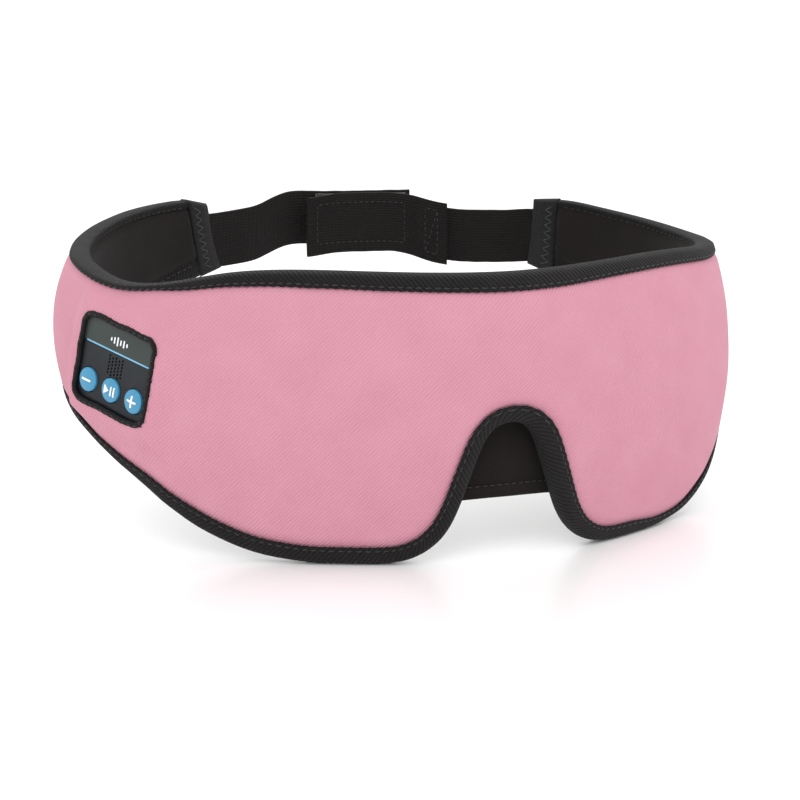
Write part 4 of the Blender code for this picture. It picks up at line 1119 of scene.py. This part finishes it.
def build_button(k, label, icon_label):
    centre = button_centre(k)
    low = -FACE_THICKNESS - 0.3 * MM
    cap = turned([(BUTTON_RADIUS, low)] + dome_profile(), centre)
    outlines = [eased([(x + centre[0], y + centre[1]) for x, y in o], 0.14 * MM) for o in icon_outlines(k)]
    recess = merged([prism(grown(o, 0.10 * MM), 0.6 * MM, 3 * MM) for o in outlines])
    cap = cut(cap, recess)
    button = add_piece(f"{label}_cap", panel_mesh(f"{label}_cap", cap), LOOKS["blue silicone"], sharp=38)
    shape = turned([(BUTTON_RADIUS, 0)] + dome_profile(0.10 * MM), centre)
    icon = cut(merged([prism(o, 0.55 * MM, 3 * MM) for o in outlines]), shape, "INTERSECT")
    sign = panel_mesh(f"{icon_label}_inlay", icon)
    sign = add_piece(f"{icon_label}_inlay", sign, LOOKS["white sign"], sharp=38)
    ride_on(label, "blue_silicone", button)
    ride_on(label, "white_sign", sign)
    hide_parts(label)
    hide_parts(icon_label)


def build_plate():
    """The module's face: button holes, a grille of staggered holes and the groove of the blue line."""
    outline = rounded_rectangle(MODULE_WIDTH, MODULE_HEIGHT, 4 * MM)
    plate = prism(outline, -FACE_THICKNESS, 0, soften=0.12 * MM)
    holes = [turned([(BUTTON_RADIUS + 0.25 * MM, -2 * MM), (BUTTON_RADIUS + 0.25 * MM, -0.15 * MM),
                     (BUTTON_RADIUS + 0.42 * MM, 1 * MM)], button_centre(k)) for k in (-1, 0, 1)]
    plate = cut(plate, merged(holes))
    holes = []
    for row in range(6):
        for column in range(5):
            x = (column - 2) * 1.5 * MM
            y = 0.8 * MM + (2.5 - row - 0.5 * (column % 2)) * 1.1 * MM
            hole = [(0.38 * MM, -2 * MM), (0.38 * MM, -0.1 * MM), (0.52 * MM, 0.2 * MM)]
            holes.append(turned(hole, (x, y), 14))
    plate = cut(plate, merged(holes))
    groove = rounded_rectangle(29.4 * MM, 0.60 * MM, 0.2 * MM, (0, ACCENT_ROW), 2)
    plate = cut(plate, prism(groove, -0.30 * MM, 1 * MM))
    face = add_piece("panel_plate", panel_mesh("panel_plate", plate), LOOKS["plate"], sharp=35)
    strip = rounded_rectangle(29.2 * MM, 0.46 * MM, 0.16 * MM, (0, ACCENT_ROW), 3)
    strip = prism(strip, -0.28 * MM, 0.06 * MM, 0.06 * MM)
    line = add_piece("panel_line", panel_mesh("panel_line", strip), LOOKS["blue line"], sharp=40)
    bars = []
    for k, height in enumerate((1.2, 2.2, 3.0, 1.8, 2.5, 1.3)):
        bar = rounded_rectangle(0.62 * MM, height * MM, 0.3 * MM, ((k - 2.5) * 1.45 * MM, 8.8 * MM), 4)
        bars.append(prism(bar, -0.05 * MM, 0.05 * MM, 0.03 * MM))
    bars = panel_mesh("panel_sound_bars", merged(bars))
    mark = add_piece("panel_sound_bars", bars, LOOKS["white sign"], sharp=40)
    ride_on("shell", "dark_plate", face)
    ride_on("shell", "light_blue_line", line)
    ride_on("shell", "white_sign", mark)
    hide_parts("module_face")
    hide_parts("accent_strip")


def build_border():
    """The sewn tape round the panel's window, drawn in between its stitches."""
    width, height = BORDER_WIDTH - 1.0 * MM, BORDER_HEIGHT - 1.0 * MM
    outline = np.array(rounded_rectangle(width, height, 4.2 * MM, corner_steps=14))
    closed = np.concatenate([outline, outline[:1]])
    chord = np.r_[0, np.cumsum(np.linalg.norm(np.diff(closed, axis=0), axis=1))]
    round_it = chord[-1]
    count = 260
    length = np.linspace(0, round_it, count, endpoint=False)
    line = np.stack([np.interp(length, chord, closed[:, k]) for k in (0, 1)], axis=1)
    run = np.roll(line, -1, axis=0) - np.roll(line, 1, axis=0)
    run /= np.linalg.norm(run, axis=1, keepdims=True)
    out = np.stack([run[:, 1], -run[:, 0]], axis=1)
    waver = uneven(line[:, 0] / (5.6 * MM), line[:, 1] / (5.6 * MM), 9.0)
    pitch = round_it / 44
    pull = np.cos(2 * math.pi * length / pitch)
    profile = []
    for a in np.radians(np.linspace(-15, 195, 13)):
        profile.append((0.95 * MM * math.cos(a), 0.55 * MM + 0.78 * MM * math.sin(a)))
    across = np.r_[0, np.cumsum(np.linalg.norm(np.diff(profile, axis=0), axis=1))]
    points, weave = [], []
    for (x, h), a in zip(profile, across):
        groove = 0.12 * MM * math.exp(-((x / (0.35 * MM)) ** 2))
        reach = x + waver * 0.30 * MM + 0.06 * MM * pull * abs(x) / (0.95 * MM)
        height = h * (1 + 0.12 * waver) - groove * (0.5 + 0.5 * pull)
        points.append(np.concatenate([line + out * reach[:, None], height[:, None]], axis=1))
        weave.append(np.stack([length, np.full_like(length, a), np.zeros_like(length)], axis=1) / MM)
    points, weave = np.stack(points), np.stack(weave)
    rows, columns = points.shape[:2]
    faces = grid_faces(rows, columns, close_columns=True)
    faces += [((rows - 1) * columns + j, (rows - 1) * columns + (j + 1) % columns, (j + 1) % columns, j)
              for j in range(columns)]
    matrix = np.array(PANEL)
    placed = points.reshape(-1, 3) @ matrix[:3, :3].T + matrix[:3, 3]
    border = add_mesh("panel_border_tape", placed, faces, LOOKS["border tape"], weave.reshape(-1, 3))
    outwards(border)
    knots = np.arange(44) * pitch
    starts, ends = [], []
    for list_, shift in ((starts, 0.25), (ends, 0.85)):
        at = (knots + shift * pitch) % round_it
        flat = np.stack([np.interp(at, chord, closed[:, k]) for k in (0, 1)], axis=1)
        local = np.concatenate([flat, np.full((len(at), 1), 1.23 * MM)], axis=1)
        list_ += list(local @ matrix[:3, :3].T + matrix[:3, 3])
    outs = [matrix[:3, 2]] * len(starts)
    sewn = stitch_row("panel_border_stitches", starts, ends, outs, LOOKS["black thread"], radius=0.17 * MM)
    ride_on("shell", "black_binding", border, sewn)
    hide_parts("panel_border")


def build_panel():
    build_plate()
    build_border()
    for k, label, icon_label in ((-1, "minus_button", "minus_icon"), (0, "play_button", "play_pause_icon"),
                                 (1, "plus_button", "plus_icon")):
        build_button(k, label, icon_label)


# ---- head strap -----------------------------------------------------------------------------------
def strap_offset(side, b):
    """Middle of the elastic, outside (right strap) or inside (left strap) of the overlap's seam line."""
    seam = SEAM_HALF * (1 if side < 0 else -1)
    if side < 0:
        share = smooth_step(b, -36 * MM, OVERLAP_LOW)
    else:
        share = 1 - smooth_step(b, OVERLAP_HIGH, 74 * MM)
    return -RIM_THICKNESS / 2 + share * (seam + RIM_THICKNESS / 2)


def band_section(width, low, high, across=15, corner=3):
    """(share of the width, offset) round a flat band with rounded selvedges."""
    r = (high - low) / 2
    mid = (low + high) / 2
    flat = width / 2 - r
    points = [(x, high) for x in np.linspace(-flat, flat, across)]
    for a in np.radians(np.linspace(90, -90, 2 * corner + 1))[1:-1]:
        points.append((flat + r * math.cos(a), mid + r * math.sin(a)))
    points += [(x, low) for x in np.linspace(flat, -flat, across)]
    for a in np.radians(np.linspace(-90, -270, 2 * corner + 1))[1:-1]:
        points.append((-flat + r * math.cos(a), mid + r * math.sin(a)))
    return np.array(points)


def build_band(name, side, b_from, b_to, width, low, high, look, shape=None):
    """A band round the back from b_from to b_to. shape(b, x) adds to its offset and to its height."""
    heights = spline(*np.array(RIGHT_STRAP_HEIGHTS if side < 0 else LEFT_STRAP_HEIGHTS).T)
    b = np.linspace(b_from, b_to, max(4, round(abs(b_to - b_from) / (0.9 * MM)) + 1))
    middle = heights(b / MM)[:, 0] * MM
    base = strap_offset(side, b)
    edge = uneven(b / 0.006, side * 5.0, np.array([[0.5], [4.5]])) * 0.16 * MM
    rings, weave = [], []
    for x, d in band_section(width, low, high):
        drift = uneven(b / 0.016, x / 0.02, 2.0) * 0.22 * MM
        offset, rise = base + d + drift, middle + x + edge[int(x > 0)] * abs(x) / (width / 2)
        if shape:
            out, up = shape(b, x)
            offset, rise = offset + out, rise + up
        rings.append(at_offset(HALF_LOOP - b, rise, offset))
        weave.append(np.stack([b, np.full_like(b, x), np.full_like(b, d)], axis=1) / MM)
    points, weave = np.stack(rings, axis=1), np.stack(weave, axis=1)
    faces = tube_faces(*points.shape[:2])
    return outwards(add_mesh(name, points, faces, look, weave.reshape(-1, 3)))


def band_stitches(name, side, places, look, lift, shape=None):
    """Stitches on a band: places holds pairs of (b, height from its middle) points, in millimetres."""
    heights = spline(*np.array(RIGHT_STRAP_HEIGHTS if side < 0 else LEFT_STRAP_HEIGHTS).T)
    lines = []
    for k in (0, 1):
        b, x = (np.array([p[k][i] for p in places]) * MM for i in (0, 1))
        drift = uneven(b / 0.016, x / 0.02, 2.0) * 0.22 * MM
        out, up = shape(b, x) if shape else (0, 0)
        offset = strap_offset(side, b) + drift + lift + out
        lines.append((b, at_offset(HALF_LOOP - b, heights(b / MM)[:, 0] * MM + x + up, offset)))
    n = plan_normal(HALF_LOOP - lines[0][0]) * (1 if lift > 0 else -1)
    outs = np.concatenate([n, np.zeros((len(n), 1))], axis=1)
    return stitch_row(name, lines[0][1], lines[1][1], outs, look, radius=0.19 * MM)


def stitch_path(corners, pitch=2.4, length=1.6):
    """Start and end points of stitches along straight runs between corners, in millimetres."""
    made = []
    for one, two in zip(corners, corners[1:]):
        one, two = Vector(one), Vector(two)
        run = (two - one).length
        unit = (two - one) / run
        count = max(1, round(run / pitch))
        for k in range(count):
            start = one + unit * (run * k / count + 0.4)
            made.append((tuple(start), tuple(start + unit * length)))
    return made


TAB_START = 49 * MM
OUTER_SPLIT = -8.5 * MM
CREASE = 37.95 * MM
LAP = STRAP_CLOTH + 0.10 * MM


def tab_shape(b, x):
    """The tab laps the elastic's end on the inner side, and the corners of its free end curl and hang."""
    f = np.asarray(x) / (TAB_WIDTH / 2)
    lap = smooth_step(b, CREASE - 4 * MM, CREASE + 0.5 * MM)
    free = smooth_step(-np.asarray(b), -7 * MM, 8 * MM)
    upper, lower = np.clip(f, 0, 1) ** 2, np.clip(-f, 0, 1) ** 2
    end_lift = smooth_step(b, TAB_START - 1.5 * MM, TAB_START) * 0.25 * MM
    lowered = 1.2 * MM * (1 - smooth_step(b, 26 * MM, 44 * MM)) + 0.9 * MM * free
    out = -LAP * lap - end_lift - free * (1.2 * MM * upper + 0.7 * MM * lower)
    return out, -np.clip(f, 0, 1) * lowered - free * 0.8 * MM * lower


def outer_shape(b, x):
    """The outer elastic rides a little high over the tab."""
    return 0.0, 0.9 * MM * smooth_step(b, -20 * MM, -4 * MM)


def left_root_shape(b, x):
    """The inner elastic moves out to the middle of the wing's hem, which is thicker than the right one."""
    return 2.6 * MM * smooth_step(b, 68 * MM, 83 * MM), 0.0


def bend_zone(joint_name, toward, before, after):
    """Start and end points of the cloth's bend at a hinge, square to its axis, before and after it."""
    joint = next(j for j in frame["joints"] if j["name"] == joint_name)
    pivot, axis = Vector(joint["pos_m"]), Vector(joint["axis"]).normalized()
    run = (Vector(toward) - pivot)
    run = (run - axis * run.dot(axis)).normalized()
    return pivot - run * before, pivot + run * after


def strap_middle(side, b):
    heights = spline(*np.array(RIGHT_STRAP_HEIGHTS if side < 0 else LEFT_STRAP_HEIGHTS).T)
    return at_offset(HALF_LOOP - b, heights(b / MM)[0, 0] * MM, strap_offset(side, b))


def build_straps():
    half = STRAP_CLOTH / 2
    pad_width = STRAP_WIDTH - 2 * MM
    pad_low, pad_high = OVERLAP_LOW + 3 * MM, OVERLAP_HIGH - 2 * MM
    pad_face = SEAM_HALF - 0.2 * MM
    look = LOOKS["black elastic"]

    strap = (STRAP_WIDTH, -half, half, look)
    root = build_band("right_elastic", -1, -56 * MM, OUTER_SPLIT, *strap, outer_shape)
    end = build_band("right_elastic_end", -1, OUTER_SPLIT, OVERLAP_HIGH, *strap, outer_shape)
    left = build_band("left_elastic", 1, 91 * MM, CREASE + 0.5 * MM, *strap, left_root_shape)
    tab = build_band("tab_cloth", 1, TAB_START, OVERLAP_LOW, TAB_WIDTH, -half, half, look, tab_shape)
    loop_pad = build_band("loop_pad", -1, pad_low + 2 * MM, pad_high, pad_width, -pad_face, -half + 0.1 * MM,
                          LOOKS["loops"], outer_shape)
    hook_pad = build_band("hook_pad", 1, pad_high, pad_low, pad_width, half - 0.1 * MM, pad_face,
                          LOOKS["hooks"], tab_shape)
    near, far = pad_low / MM + 1.2, pad_high / MM - 1.2
    ring = [(near, -8), (far, -8), (far, 8), (near, 8), (near, -8)]
    box = [(40.0, -8.5), (45.0, -8.5), (45.0, 8.5), (40.0, 8.5), (40.0, -8.5), (45.0, 8.5)]
    end_sewn = band_stitches("right_elastic_end_stitches", -1, stitch_path(ring), LOOKS["black thread"], half,
                             outer_shape)
    tab_sewn = band_stitches("tab_stitches", 1, stitch_path(ring), LOOKS["black thread"], -half, tab_shape)
    box_sewn = band_stitches("tab_box_stitches", 1, stitch_path(box), LOOKS["black thread"], -half, tab_shape)

    swing = bend_zone("right_strap_swing", strap_middle(-1, -27 * MM), 2.0 * MM, 6.0 * MM)
    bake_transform(root)
    bend = bend_zone("right_strap_bend", strap_middle(-1, 5 * MM), -2.5 * MM, 7 * MM)
    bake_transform(end)
    swing = bend_zone("left_strap_swing", strap_middle(1, 56 * MM), 2.0 * MM, 6.0 * MM)
    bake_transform(left)
    peel = bend_zone("hook_tab_peel", strap_middle(1, 10 * MM), 1.5 * MM, 5 * MM)
    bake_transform(tab)
    ride_on("right_strap_end", "hook_and_loop", loop_pad)
    ride_on("hook_tab", "hook_and_loop", hook_pad)
    ride_on("right_strap_end", "black_elastic", end_sewn)
    ride_on("hook_tab", "black_elastic", tab_sewn)
    ride_on("left_strap", "black_elastic", box_sewn)
    for piece, node in ((root, "right_strap"), (end, "right_strap_end"), (left, "left_strap"),
                        (tab, "hook_tab"), (loop_pad, "loop_patch"), (hook_pad, "hook_patch")):
        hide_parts(node)


# ---- what stays of the CAD model ----------------------------------------------------------------
INNER_LOOKS = {
    "foam": ["foam_core"],
    "black plastic": ["module_housing", "audio_chip", "left_speaker_housing", "right_speaker_housing",
                      "left_speaker_grille", "right_speaker_grille", "left_speaker_lead",
                      "right_speaker_lead"],
    "green board": ["circuit_board"],
    "battery wrap": ["battery"],
    "bright metal": ["charge_socket", "microphone", "minus_switch", "play_switch", "plus_switch",
                     "left_speaker_magnet", "right_speaker_magnet"],
    "red lamp": ["indicator_led"],
    "speaker film": ["left_speaker_diaphragm", "right_speaker_diaphragm"],
}


def dress_inner_parts():
    for look, names in INNER_LOOKS.items():
        for name in names:
            node = frame["nodes"][name]
            for place in node.material_slots:
                place.material = LOOKS[look]


# ---- camera, floor and light ------------------------------------------------------------------------
def place_camera():
    position = Vector((-0.2440, -0.6106, 0.1320))
    forward = Vector((0.35832, 0.91214, -0.19903)).normalized()
    right = forward.cross(Vector((0, 0, 1))).normalized()
    data = bpy.data.cameras.new("camera")
    data.lens, data.sensor_width = 86.9, 36
    camera = bpy.data.objects.new("camera", data)
    camera.matrix_world = Matrix((right, right.cross(forward), -forward)).transposed().to_4x4()
    camera.location = position
    bpy.context.scene.collection.objects.link(camera)
    bpy.context.scene.camera = camera


def area_light(name, place, size, power, target=(0, 0, 0.01)):
    data = bpy.data.lights.new(name, "AREA")
    data.energy, data.size = power, size
    light = bpy.data.objects.new(name, data)
    light.location = place
    light.rotation_euler = (Vector(target) - Vector(place)).to_track_quat("-Z", "Y").to_euler()
    bpy.context.scene.collection.objects.link(light)


def build_stage():
    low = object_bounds()[0][2]
    reach = 6.0
    mesh = bpy.data.meshes.new("floor")
    corners = [(reach * x, reach * y, low) for x, y in ((-1, -1), (1, -1), (1, 1), (-1, 1))]
    mesh.from_pydata(corners, [], [(0, 1, 2, 3)])
    recipe = Recipe("pale floor", 0.28, place="body")
    recipe.colour(recipe.noise(300.0), (0.97, 0.97, 0.965), (0.99, 0.99, 0.985))
    floor = add_piece("floor", mesh, recipe.material)
    world = bpy.data.worlds.new("studio")
    world.use_nodes = True
    world.node_tree.nodes["Background"].inputs["Color"].default_value = (1.0, 1.0, 1.0, 1)
    world.node_tree.nodes["Background"].inputs["Strength"].default_value = 1.04
    bpy.context.scene.world = world
    bpy.context.scene.view_settings.view_transform = "Standard"
    area_light("key", (-0.75, -0.95, 0.95), 0.9, 6.0)
    area_light("fill", (0.95, -0.45, 0.55), 1.0, 2.5)
    area_light("back", (0.1, 0.95, 0.85), 0.9, 4.0)


place_camera()
build_cover_and_lining()
build_edges()
build_eye_cup("right", -1)
build_eye_cup("left", 1)
build_nose_flap()
build_panel()
build_straps()
dress_inner_parts()
build_stage()
